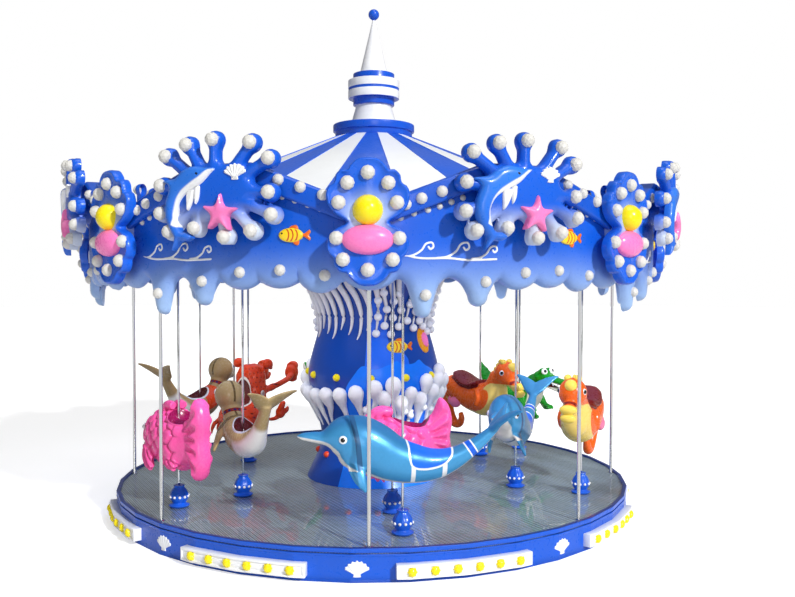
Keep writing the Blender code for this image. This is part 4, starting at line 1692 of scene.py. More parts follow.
    def build_tendrils(self) -> None:
        """Curved hanging horns on one side of the column's neck."""
        whole = bmesh.new()
        first, last = -88.0, -6.0
        for k in range(self.tendrils):
            degrees = first + (last - first) * k / (self.tendrils - 1)
            low = 1.93 - 0.05 * (k % 3)
            path = [(-0.10, 2.515, 0.010), (-0.065, 2.42, 0.016), (0.0, 2.30, 0.018), (0.035, 2.17, 0.016),
                    (0.045, 2.06, 0.012), (0.028, low + 0.07, 0.009), (0.0, low, 0.004)]
            self.hang(whole, degrees, Tube(path, (0.036, 0.036, 0.031, 0.025, 0.019, 0.013, 0.005), 12, 3))
        self.twice("column_tendrils", whole, Finishes.horn, 60)

    def build_strings(self) -> None:
        """Strings of beads on the other side of the neck, on tapering stems."""
        stems, beads = bmesh.new(), bmesh.new()
        ball = jewel_template("string_bead", 0.9, 2)
        for k, (degrees, low) in enumerate(self.strings):
            sway = 0.02 * (-1) ** k
            heights = [low + 0.175 * i for i in range(3)]
            path = [(-0.05, 2.51, 0.014), (-0.02 + sway, heights[2] + 0.12, 0.016),
                    (sway, heights[2], 0.018), (0.02, heights[1], 0.016), (0.0, low, 0.014)]
            self.hang(stems, degrees, Tube(path, (0.034, 0.032, 0.024, 0.017, 0.008), 10, 3))
            for height, across in zip(heights, (0.0, 0.02, sway)):
                angle = degrees + math.degrees(across / self.radius_at(height))
                spot = self.spot(angle, height, 0.030)
                stamped(beads, ball, [facing(spot, self.outwards(angle, height), self.bead)])
        self.twice("column_strings", stems, Finishes.horn, 60)
        self.twice("column_string_beads", beads, Finishes.foam_bead, 60)

    def build_foam(self) -> None:
        """Drops of foam with long tails, and small beads on stems between them."""
        drops, beads = bmesh.new(), bmesh.new()
        ball = jewel_template("string_bead", 0.9, 2)
        for k, (degrees, height, size) in enumerate(self.drops):
            bend = 0.06 if k % 3 else -0.03
            path = [(-0.012, height + 0.078 * size, 0.045), (-0.010, height + 0.055 * size, 0.047),
                    (-0.004, height, 0.048), (0.004, height - 0.06, 0.040), (0.012, height - 0.13, 0.026),
                    (bend * 0.55, height - 0.24, 0.012), (bend, height - 0.37, 0.004)]
            radii = [part * size for part in (0.012, 0.056, 0.078, 0.062, 0.038, 0.021, 0.006)]
            self.hang(drops, degrees, Tube(path, radii, 16))
        for degrees, height in self.froth:
            path = [(0.03, height + 0.06, 0.02), (0.0, height, 0.030), (-0.01, height - 0.12, 0.014),
                    (-0.02, height - 0.24, 0.006)]
            self.hang(drops, degrees, Tube(path, (0.018, 0.018, 0.014, 0.006), 10, 3))
            spot = self.spot(degrees, height, self.froth_bead)
            stamped(beads, ball, [facing(spot, self.outwards(degrees, height), self.froth_bead)])
        self.twice("column_foam", drops, Finishes.foam, 60)
        self.twice("column_foam_beads", beads, Finishes.foam_bead, 25)

    def build_dots(self) -> None:
        """The rings of yellow and red beads round the column."""
        gem = jewel_template("dot", 0.2, 2)
        for name, (first, height, size), finish in (("column_yellow_dots", self.yellow_dot,
                                                     Finishes.ball_dot),
                                                    ("column_red_dots", self.red_dot, Finishes.red_dot)):
            bm = bmesh.new()
            for k in range(self.dots):
                degrees = first + 360 / self.dots * k
                stamped(bm, gem, [facing(self.spot(degrees, height), self.outwards(degrees, height), size)])
            add_piece(name, bm, [finish], ROTOR, crease=50)

    def build_ornaments(self) -> None:
        """The reef fish and the round shell on the column's neck."""
        degrees, height = self.fish_spot
        fish = ReefFish(0.31).build(Wrap(self.radius_at(height) + 0.004, degrees, height), "column_fish")
        copied_round(fish, "column_fish", 2, ROTOR, Finishes.fish.slot)
        degrees, height = self.disc_spot

        def petals(p: Array, depth: Array) -> Array:
            """The ring's rise, with ten petals."""
            return 0.018 * pillow(depth, 0.03) + 0.004 * np.cos(10 * np.arctan2(p[:, 1], p[:, 0]))

        ring = Relief(oval(0, 0, 0.10, 0.14), (-0.11, -0.15), (0.11, 0.15), 0.008, petals, -0.05)
        boss = Relief(oval(0.01, 0, 0.055, 0.078), (-0.06, -0.09), (0.08, 0.09), 0.008,
                      lambda p, d: 0.018 + 0.030 * pillow(d, 0.06), 0.0)
        for name, relief, finish in (("column_disc", ring, Finishes.gold),
                                     ("column_disc_boss", boss, Finishes.oval)):
            bm = relief.build()
            for vert in bm.verts:
                vert.co.y += height
            self.on_side(bm, degrees)
            self.twice(name, bm, finish, 50)

    def build(self) -> None:
        """Body, hanging parts, foam, dots and ornaments."""
        self.build_body()
        self.build_tendrils()
        self.build_strings()
        self.build_foam()
        self.build_dots()
        self.build_ornaments()


@dataclass
class ReefFish:
    """A small raised fish with stripes, its head to the left."""

    length: float

    def build(self, wrap: Wrap, name: str) -> Mesh:
        """The fish's mesh, bent to its place, with its paint distances.

        Args:
            wrap: Where the fish goes.
            name: The mesh's name.

        Returns:
            The mesh.
        """
        size = self.length
        body = oval(-0.10 * size, 0, 0.38 * size, 0.215 * size)
        tail = outline([(0.20 * size, 0), (0.34 * size, 0.07 * size), (0.47 * size, 0.16 * size),
                        (0.50 * size, 0.08 * size), (0.45 * size, 0.0), (0.50 * size, -0.08 * size),
                        (0.47 * size, -0.16 * size), (0.34 * size, -0.07 * size)], 3)
        crest = outline([
            (-0.18 * size, 0.17 * size), (-0.10 * size, 0.27 * size), (0.06 * size, 0.30 * size),
            (0.12 * size, 0.22 * size), (0.10 * size, 0.12 * size), (-0.1 * size, 0.1 * size)], 3)
        keel = outline([(-0.05 * size, -0.15 * size), (0.0, -0.27 * size), (0.11 * size, -0.30 * size),
                        (0.16 * size, -0.20 * size), (0.10 * size, -0.10 * size)], 3)
        whole = joined([body, tail, crest, keel], 0.012 * size)

        def rise(p: Array, depth: Array) -> Array:
            """A thin edge with the body's swell on it."""
            swell = 0.05 * pillow(np.clip(body(p), 0, None), 0.2 * size)
            return size * (0.035 * pillow(depth, 0.05 * size) + swell)

        low, high = (-0.55 * size, -0.36 * size), (0.58 * size, 0.36 * size)
        bm = Relief(whole, low, high, 0.014 * size, rise, -0.03).build()
        bmesh.ops.remove_doubles(bm, verts=bm.verts, dist=TOUCHING)
        bm.verts.ensure_lookup_table()
        flat = np.array([vert.co[:2] for vert in bm.verts])
        mesh = mesh_of(wrap.bend(bm), name, [Finishes.fish], 60, 0.0)
        fins = np.maximum.reduce([tail(flat), crest(flat), keel(flat)])
        set_attribute(mesh, "trim", np.where(body(flat) > 0, np.minimum(fins, -body(flat)), fins))
        stripes = [0.020 * size - np.abs(np.hypot(flat[:, 0] - (x - 0.24) * size, flat[:, 1]) - 0.24 * size)
                   for x in (-0.14, -0.01, 0.12)]
        inner = np.minimum(np.maximum.reduce(stripes), body(flat) - 0.03 * size)
        set_attribute(mesh, "stripe", np.where(flat[:, 0] > -0.26 * size, inner, -1.0))
        set_attribute(mesh, "eye", disc(-0.36 * size, 0.05 * size, 0.032 * size)(flat))
        return mesh


@dataclass
class Roof:
    """The striped cone over the canopy, and the ceiling frame under it."""

    edge: Point = (2.92, 3.02)
    top: Point = (0.43, 4.05)
    thickness: float = 0.03
    stripes: int = 24
    per_stripe: int = 6
    first: float = -9.3
    seam: float = 0.006

    def build(self) -> None:
        """The cone with its stripes, and a low seam along each join."""
        bm = bmesh.new()
        middle = tuple((a + b) / 2 for a, b in zip(self.edge, self.top))
        under = [(radius, height - self.thickness) for radius, height in (self.top, self.edge)]
        profile = [self.edge, middle, self.top, (0.38, self.top[1]), (0.38, under[0][1]), *under]
        sides = self.stripes * self.per_stripe
        lathe(bm, profile, sides, closed=True, start=math.radians(self.first))
        step = 360 / self.stripes
        for face in bm.faces:
            spot = face.calc_center_median()
            degrees = math.degrees(math.atan2(spot.x, -spot.y)) - self.first
            face.material_index = int((degrees % 360) // step) % 2
        add_piece("roof_skin", bm, [Finishes.roof_blue, Finishes.roof_white], ROTOR, ["roof"], 30)
        self.build_seams()
        dress_node("canopy_frame", Finishes.ceiling)
        dress_node("base_frame", Finishes.frame_steel)

    def build_seams(self) -> None:
        """Half-round seams where the stripes meet, and a cord along the lower edge."""
        one = bmesh.new()
        start = Vector((0, -self.top[0] - 0.005, self.top[1]))
        end = Vector((0, -self.edge[0] + 0.01, self.edge[1]))
        radii = (self.seam * 0.6, self.seam * 0.8, self.seam)
        Tube([start, start.lerp(end, 0.5), end], radii, 6, 2).build(one)
        mesh = kept_mesh(one, "seam")
        whole = bmesh.new()
        turns = [math.radians(self.first + 360 / self.stripes * k) for k in range(self.stripes)]
        stamped(whole, mesh, [Matrix.Rotation(turn, 4, "Z") for turn in turns])
        add_piece("roof_seams", whole, [Finishes.roof_blue], ROTOR, crease=70)


def dress_node(name: str, finish: Finish) -> None:
    """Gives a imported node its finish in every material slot.

    Args:
        name: The node's name.
        finish: Its finish.
    """
    node = bpy.data.objects[name]
    for slot in node.material_slots:
        slot.material = finish.material()


@dataclass
class Spire:
    """The collar, drum, cone and ball on the roof."""

    sides: int = 72
    blue_zones: tuple[Point, ...] = (
        (4.0, 4.1905), (4.4095, 4.4835), (4.57, 4.60), (4.6865, 4.7605), (5.358, 5.6))
    profile: tuple[Point, ...] = (
        (0.0, 4.0503), (0.43, 4.0503), (0.43, 4.108), (0.454, 4.114), (0.454, 4.184), (0.448, 4.19),
        (0.262, 4.19), (0.258, 4.194), (0.196, 4.41), (0.227, 4.41), (0.23, 4.413), (0.23, 4.483),
        (0.282, 4.483), (0.286, 4.487), (0.286, 4.566), (0.283, 4.571), (0.283, 4.598), (0.286, 4.603),
        (0.286, 4.683), (0.282, 4.687), (0.23, 4.687), (0.23, 4.757), (0.227, 4.76), (0.157, 4.76),
        (0.015, 5.36))
    ball: Point = (0.06, 5.424)

    def build(self) -> None:
        """One turned piece in blue and white."""
        radius, height = self.ball
        start = -math.acos(0.015 / radius)
        turns = [start + (math.pi / 2 - start) * k / 14 for k in range(1, 15)]
        rows = [(max(radius * math.cos(turn), 0.0), height + radius * math.sin(turn)) for turn in turns]
        bm = bmesh.new()
        lathe(bm, [*eased(self.profile, 0.004), *rows], self.sides)
        for face in bm.faces:
            z = face.calc_center_median().z
            face.material_index = int(any(low < z < high for low, high in self.blue_zones))
        add_piece("spire_top", bm, [Finishes.spire_white, Finishes.spire_blue], ROTOR, ["spire"], 30)


@dataclass
class Frieze:
    """One sector of the canopy's edge: panel, rail, shell, crown and ornaments, eight times round."""

    start: float = -10.8
    inner: float = 2.93
    panel: float = 0.095
    rail_face: float = 3.10
    rail_height: float = 0.18
    rail_low: float = 3.05
    rail_high: float = 3.41
    rail_slope: float = 1.18
    rail_steps: int = 60
    band: float = 2.50
    drips: tuple[Point3, ...] = ((8.4, 2.179, 0.072), (17.4, 2.266, 0.085))
    scallops: tuple[Point3, ...] = ((24.5, 2.400, 0.25), (31.0, 2.412, 0.28), (37.5, 2.377, 0.215),
                                                        (-7.5, 2.377, 0.215), (0.2, 2.40, 0.30))
    crown_place: Point3 = (3.18, 22.6, 3.18)
    crown_body: Point = (0.355, 0.215)
    tips: tuple[Point, ...] = (
        (0.508, -0.195), (0.486, -0.021), (0.486, 0.239), (0.335, 0.366), (0.011, 0.400), (-0.235, 0.371),
        (-0.447, 0.292), (-0.503, 0.060), (-0.508, -0.163), (-0.419, -0.312), (-0.162, -0.288),
        (0.112, -0.362), (0.341, -0.317))
    neck: float = 0.044
    tip: float = 0.074
    shell_place: Point3 = (3.17, 0.0, 2.925)
    shell_half: tuple[Point, ...] = (
        (0.08, 0.487), (0.135, 0.440), (0.157, 0.405), (0.205, 0.405), (0.247, 0.365), (0.260, 0.305),
        (0.300, 0.278), (0.323, 0.215), (0.302, 0.125), (0.240, 0.055), (0.158, 0.0), (0.238, -0.042),
        (0.297, -0.100), (0.320, -0.175), (0.300, -0.240), (0.262, -0.275), (0.260, -0.320),
        (0.225, -0.375), (0.165, -0.392), (0.135, -0.432), (0.07, -0.478))
    ball_half: Point3 = (0.118, 0.118, 0.118)
    ball_place: Point = (3.184, 3.019)
    oval_half: Point3 = (0.20, 0.09, 0.117)
    oval_place: Point = (3.19, 2.793)
    fish_length: float = 0.265
    fish_place: Point3 = (3.030, 33.9, 2.835)
    fan_size: float = 0.066
    fan_place: Point3 = (3.246, 26.5, 3.318)
    wave_place: Point3 = (3.024, 13.0, 2.690)
    star_middle: Point = (0.086, -0.180)
    star_reach: Point = (0.155, 0.074)
    leaper_lift: float = 0.058
    drip_pearls: tuple[Point, ...] = (
        (8.6, 2.365), (18.1, 2.470), (25.0, 2.543), (31.6, 2.560), (38.5, 2.519))
    rail_pearls: tuple[Point, ...] = ((5.4, 3.070), (7.7, 3.118), (10.7, 3.174), (14.0, 3.250),
                                      (31.9, 3.265), (35.2, 3.205), (38.5, 3.143), (41.2, 3.085))
    small_pearls: tuple[Point, ...] = (
        (4.8, 2.970), (6.8, 3.006), (8.9, 3.034), (10.7, 3.063), (12.5, 3.100), (14.3, 3.135),
        (32.0, 3.140), (34.0, 3.107), (36.0, 3.072), (37.9, 3.040), (39.9, 3.010), (41.8, 2.980))
    crown_pearls: tuple[Point, ...] = (
        (14.6, 3.472), (18.4, 3.551), (22.8, 3.580), (28.6, 3.546), (31.3, 3.419), (13.6, 3.240),
        (13.5, 3.017), (15.1, 2.868), (19.7, 2.892), (24.6, 2.818), (28.7, 2.863), (31.3, 3.159),
        (31.7, 2.985))
    shell_pearls: tuple[Point, ...] = ((0, 3.303), (2.8, 3.224), (-2.8, 3.224), (4.0, 3.075), (-4.0, 3.075),
                                       (4.3, 2.804), (-4.3, 2.804), (3.4, 2.64), (-3.4, 2.64), (0, 2.561))

    @staticmethod
    def repeat(name: str, mesh: Mesh, nodes: str = "") -> None:
        """Sets a sector's piece eight times round."""
        copied_round(mesh, name, SECTORS, ROTOR, Finishes.frieze.slot, nodes)

    def sector_piece(self, name: str, bm: BMesh, finish: Finish, crease: float = 60,
                     kept: float = 1.0) -> None:
        """Sets a shape with one finish eight times round."""
        self.repeat(name, mesh_of(bm, name, [finish], crease, kept=kept))

    def on_crown(self, bm: BMesh) -> BMesh:
        """Bends flat work to the splash crown's place."""
        return Wrap(*self.crown_place).bend(bm)

    def rail_top(self, degrees: Array | float) -> Array | float:
        """The rail's upper edge: low behind each shell and high behind each crown."""
        away = abs((degrees + SECTOR / 2) % SECTOR - SECTOR / 2)
        return np.minimum(self.rail_low + self.rail_slope * np.radians(away), self.rail_high)

    def build_panel(self) -> None:
        """The wall with puffy drips along its lower edge."""
        radius = self.inner + 0.02
        shift = math.radians(self.start) * radius
        wide = math.radians(SECTOR) * radius

        def across(degrees: float) -> float:
            """How far along the flat panel an angle is."""
            return math.radians(degrees) * radius

        long_drips = [finger((across(a), self.band + 0.06), (across(a), tip + half), half * 2.3, half)
                      for a, tip, half in self.drips]
        flowing = joined([lambda p: p[:, 1] - self.band, *long_drips], 0.10)
        round_drips = [disc(across(a), tip + size, size) for a, tip, size in self.scallops]
        lower = joined([flowing, *round_drips], 0.006)

        def upper(p: Array) -> Array:
            """Distance under the panel's upper edge."""
            return self.rail_top(np.degrees(p[:, 0] / radius)) - 0.05 - p[:, 1]

        def rise(p: Array, depth: Array) -> Array:
            """The puffy face of the drips."""
            drop = np.clip(lower(p), 0, None)
            return (self.panel - 0.022) * pillow(drop, 0.085) + 0.022 * pillow(drop, 0.30)

        bm = Relief(lambda p: np.minimum(lower(p), upper(p)), (shift, 2.16), (shift + wide, 3.44), 0.0165,
                    rise, 0.0).build()
        bent = Wrap(self.inner).bend(self.rescaled(bm, radius))
        self.repeat("frieze_panel", mesh_of(bent, "frieze_panel", [Finishes.frieze], kept=0.4), "frieze")

    def rescaled(self, bm: BMesh, radius: float) -> BMesh:
        """Brings flat work drawn at one radius to the panel's inner radius.

        Args:
            bm: The flat work.
            radius: The radius that it was drawn at.

        Returns:
            The same bmesh.
        """
        for vert in bm.verts:
            vert.co.x *= self.inner / radius
        return bm

    def build_rail(self) -> None:
        """The raised rail that follows the panel's top, with a groove under it."""
        face, back = self.rail_face, self.inner
        low = -self.rail_height
        profile = eased([
            (back, low + 0.03), (back + 0.07, low + 0.03), (back + 0.098, low + 0.024),
            (back + 0.098, low + 0.012), (back + 0.120, low), (face - 0.012, low), (face, low + 0.016),
            (face, -0.022), (face - 0.022, 0.0), (back + 0.02, 0.0), (back, -0.01)], 0.006)
        bm = bmesh.new()
        start, sweep = math.radians(self.start), math.radians(SECTOR)
        verts = lathe(bm, profile, self.rail_steps, closed=True, start=start, sweep=sweep)
        ends = [edge for edge in bm.edges if edge.is_boundary]
        for vert in verts:
            degrees = math.degrees(math.atan2(vert.co.x, -vert.co.y))
            vert.co.z += self.rail_top(degrees)
        bmesh.ops.edgeloop_fill(bm, edges=ends)
        self.sector_piece("frieze_rail", bm, Finishes.rail, 35, 0.55)

    def build_crown(self) -> None:
        """The splash: an oval body with fingers that end in round heads."""
        body = oval(0, 0, *self.crown_body)
        necks = [finger((0.52 * u, 0.45 * v), (u, v), self.neck * 1.1, self.neck) for u, v in self.tips]
        heads = [disc(u, v, self.tip) for u, v in self.tips]
        shape = joined([body, *necks], 0.055)
        shape = joined([shape, *heads], 0.03)

        def rise(p: Array, depth: Array) -> Array:
            """A rolled edge with a slow swell inside it."""
            return 0.052 * pillow(depth, 0.062) + 0.012 * pillow(depth, 0.2)

        bm = Relief(shape, (-0.61, -0.42), (0.61, 0.50), 0.0115, rise, -0.035).build()
        self.add_block(bm, oval(0, -0.03, 0.26, 0.13), 0.19)
        self.sector_piece("splash_crown", self.on_crown(bm), Finishes.crown, 50, 0.45)

    @staticmethod
    def add_block(bm: BMesh, inside: Field, depth: float) -> None:
        """Adds the block that holds a plate off the wall."""
        block = Relief(inside, (-0.3, -0.3), (0.3, 0.3), 0.02, lambda p, d: -0.025 + 0.0 * d, -depth)
        merge(bm, block.build())

    def build_shell(self) -> None:
        """The double fan with a raised rim and soft flutes."""
        right = list(self.shell_half)
        ring = [(0.0, 0.500), *right, (0.0, -0.49), *[(-u, v) for u, v in reversed(right)]]
        inside = outline(ring, 3)

        def rise(p: Array, depth: Array) -> Array:
            """A rolled edge round a fluted dish.

            Args:
                p: The points, a row each.
                depth: How far inside the outline each point is.

            Returns:
                One height for each point.
            """
            turn = np.arctan2(p[:, 0], np.abs(p[:, 1]) + 0.05)
            reach = np.hypot(p[:, 0], p[:, 1])
            flute = np.cos(turn / math.radians(62) * math.pi * 2.5)
            dish = pillow(np.clip(depth - 0.022, 0, None), 0.07)
            fan = 0.007 * flute * dish * np.clip(reach / 0.3, 0, 1)
            return 0.042 * pillow(depth, 0.022) - 0.020 * dish + fan

        bm = Relief(inside, (-0.34, -0.51), (0.34, 0.52), 0.0105, rise, -0.045).build()
        self.add_block(bm, oval(0, 0, 0.13, 0.24), 0.175)
        bmesh.ops.remove_doubles(bm, verts=bm.verts, dist=TOUCHING)
        flat = np.array([vert.co[:2] for vert in bm.verts])
        mesh = mesh_of(Wrap(*self.shell_place).bend(bm), "scallop_shell", [Finishes.shell], 50, 0.0)
        glow = 0.15 - np.hypot(flat[:, 0] * 0.9, (flat[:, 1] - 0.03) * 0.95)
        edge = 0.14 * np.clip(1 - np.clip(inside(flat), 0, None) / 0.035, 0, 1)
        set_attribute(mesh, "glow", glow - edge)
        mesh = thinned(mesh, 0.45, 50)
        self.repeat("scallop_shell", mesh)

    def build_jewels(self) -> None:
        """The yellow ball and the pink oval on each shell, and every pearl."""
        for name, finish, half, (radius, height) in (("shell_ball", Finishes.ball, self.ball_half,
                                                      self.ball_place),
                                                     ("shell_oval", Finishes.oval, self.oval_half,
                                                      self.oval_place)):
            bm = bmesh.new()
            bmesh.ops.create_icosphere(bm, subdivisions=4, radius=1)
            bmesh.ops.scale(bm, vec=half, verts=bm.verts)
            bmesh.ops.translate(bm, vec=place(0, radius, height), verts=bm.verts)
            self.sector_piece(name, bm, finish)
        pearl = jewel_template("pearl", 0.35, 2)
        bm = bmesh.new()
        rows = ((self.drip_pearls, 3.018, 0.048), (self.rail_pearls, 3.098, 0.047),
                (self.small_pearls, 3.024, 0.026), (self.crown_pearls, 3.230, 0.057),
                (self.shell_pearls, 3.202, 0.057))
        for spots, radius, size in rows:
            for k, (degrees, height) in enumerate(spots):
                side = place(math.radians(degrees), 1)
                turned = facing(place(math.radians(degrees), radius, height), side, size)
                stamped(bm, pearl, [turned @ Matrix.Rotation(1.1 * k, 4, "Z")])
        self.sector_piece("pearls", bm, Finishes.pearl, 4)

    def build_leaper(self) -> None:
        """The leaping dolphin on the crown, with its white fins and its eye."""
        ring = [(0.043, 0.175), (-0.051, 0.183), (-0.129, 0.196), (-0.194, 0.192), (-0.259, 0.163),
                (-0.311, 0.118), (-0.355, 0.104), (-0.457, 0.091), (-0.405, 0.062), (-0.387, 0.025),
                (-0.405, -0.030), (-0.426, -0.089), (-0.431, -0.155), (-0.415, -0.233), (-0.376, -0.305),
                (-0.338, -0.366), (-0.352, -0.415), (-0.366, -0.468), (-0.324, -0.435), (-0.279, -0.390),
                (-0.220, -0.392), (-0.168, -0.360), (-0.210, -0.325), (-0.266, -0.319), (-0.290, -0.288),
                (-0.311, -0.222), (-0.314, -0.155), (-0.296, -0.100), (-0.259, -0.050), (-0.207, -0.011),
                (-0.142, 0.022), (-0.070, 0.061), (0.001, 0.130)]
        inside = outline(ring, 3)
        belly = outline([(0.036, 0.168), (-0.09, 0.103), (-0.176, 0.053), (-0.252, 0.0), (-0.300, -0.064),
                         (-0.328, -0.144), (-0.332, -0.21), (-0.318, -0.277), (0.0, -0.25), (0.15, 0.0)], 3)
        lift = self.leaper_lift
        bm = Relief(inside, (-0.48, -0.49), (0.06, 0.21), 0.0085,
                    lambda p, d: lift + 0.050 * pillow(d, 0.065), 0.02).build()
        bmesh.ops.remove_doubles(bm, verts=bm.verts, dist=TOUCHING)
        flat = np.array([vert.co[:2] for vert in bm.verts])
        mesh = mesh_of(self.on_crown(bm), "leaper", [Finishes.leaper], 60, 0.0)
        set_attribute(mesh, "belly", belly(flat))
        set_attribute(mesh, "eye", disc(-0.096, 0.133, 0.012)(flat))
        mesh = thinned(mesh, 0.7)
        self.repeat("leaping_dolphin", mesh)
        fins = bmesh.new()
        for fin in ([(-0.207, -0.005), (-0.212, -0.09), (-0.207, -0.150), (-0.174, -0.118),
                     (-0.142, -0.050), (-0.129, 0.015)], [(-0.137, 0.020), (-0.136, -0.055),
                                                          (-0.130, -0.105), (-0.103, -0.067),
                                                          (-0.092, -0.008), (-0.094, 0.042)]):
            piece = Relief(outline(fin, 3), (-0.23, -0.17), (-0.08, 0.06), 0.006,
                           lambda p, d: lift + 0.006 + 0.028 * pillow(d, 0.022), 0.02).build()
            merge(fins, self.on_crown(piece))
        self.sector_piece("dolphin_fins", fins, Finishes.flipper)

    def build_star(self) -> None:
        """The fat five-armed star on the crown."""
        x, y = self.star_middle
        points = []
        for k in range(10):
            turn = math.radians(86 - 36 * k)
            reach = self.star_reach[k % 2]
            points.append((x + reach * math.cos(turn), y + reach * math.sin(turn)))
        inside = outline(points, 4)

        def rise(p: Array, depth: Array) -> Array:
            """A fat star's rounded arms."""
            return 0.072 + 0.042 * pillow(depth, 0.055)

        bm = Relief(inside, (-0.10, -0.36), (0.27, 0.0), 0.008, rise, 0.02).build()
        self.sector_piece("sea_star", self.on_crown(bm), Finishes.star)

    def build_motifs(self) -> None:
        """A reef fish and a curling wave on the panel, and a fan shell on the crown."""
        fish = ReefFish(self.fish_length).build(Wrap(*self.fish_place), "reef_fish")
        self.repeat("reef_fish", fish)
        fan = scallop(bmesh.new(), self.fan_size, 0.010, -0.03)
        self.sector_piece("crown_fan", Wrap(*self.fan_place).bend(fan), Finishes.wave, 50, 0.4)
        curls = []
        for start, lift, size in ((-0.40, 0.010, 0.95), (-0.14, 0.0, 1.1), (0.15, -0.010, 0.9)):
            curl = [(0.0, -0.030), (0.075, -0.020), (0.140, 0.020), (0.175, 0.070), (0.225, 0.082),
                    (0.240, 0.048), (0.215, 0.028), (0.198, 0.046)]
            curls.append(line_distance([(start + size * u, lift + size * v) for u, v in curl]))
        base = [(-0.42, -0.012), (-0.26, -0.036), (-0.05, -0.034), (0.12, -0.048), (0.36, -0.040)]
        curls.append(line_distance(base))

        def ribbon(p: Array) -> Array:
            """Distance inside the curls' lines, which taper at their start."""
            taper = np.clip((p[:, 0] + 0.42) / 0.10, 0.45, 1)
            return 0.0085 * taper - np.minimum.reduce([away(p) for away in curls])

        wave = Relief(ribbon, (-0.46, -0.08), (0.46, 0.12), 0.005,
                      lambda p, d: 0.006 * pillow(d, 0.01), -0.02).build()
        self.sector_piece("wave_line", Wrap(*self.wave_place).bend(wave), Finishes.wave, 50, 0.45)

    def build(self) -> None:
        """Every piece of the frieze."""
        self.build_panel()
        self.build_rail()
        self.build_crown()
        self.build_shell()
        self.build_jewels()
        self.build_leaper()
        self.build_star()
        self.build_motifs()


@dataclass
class Detail:
    """A small part set on a figure: its finish, its template and its places."""

    finish: Finish
    template: Mesh
    spots: list[Matrix]


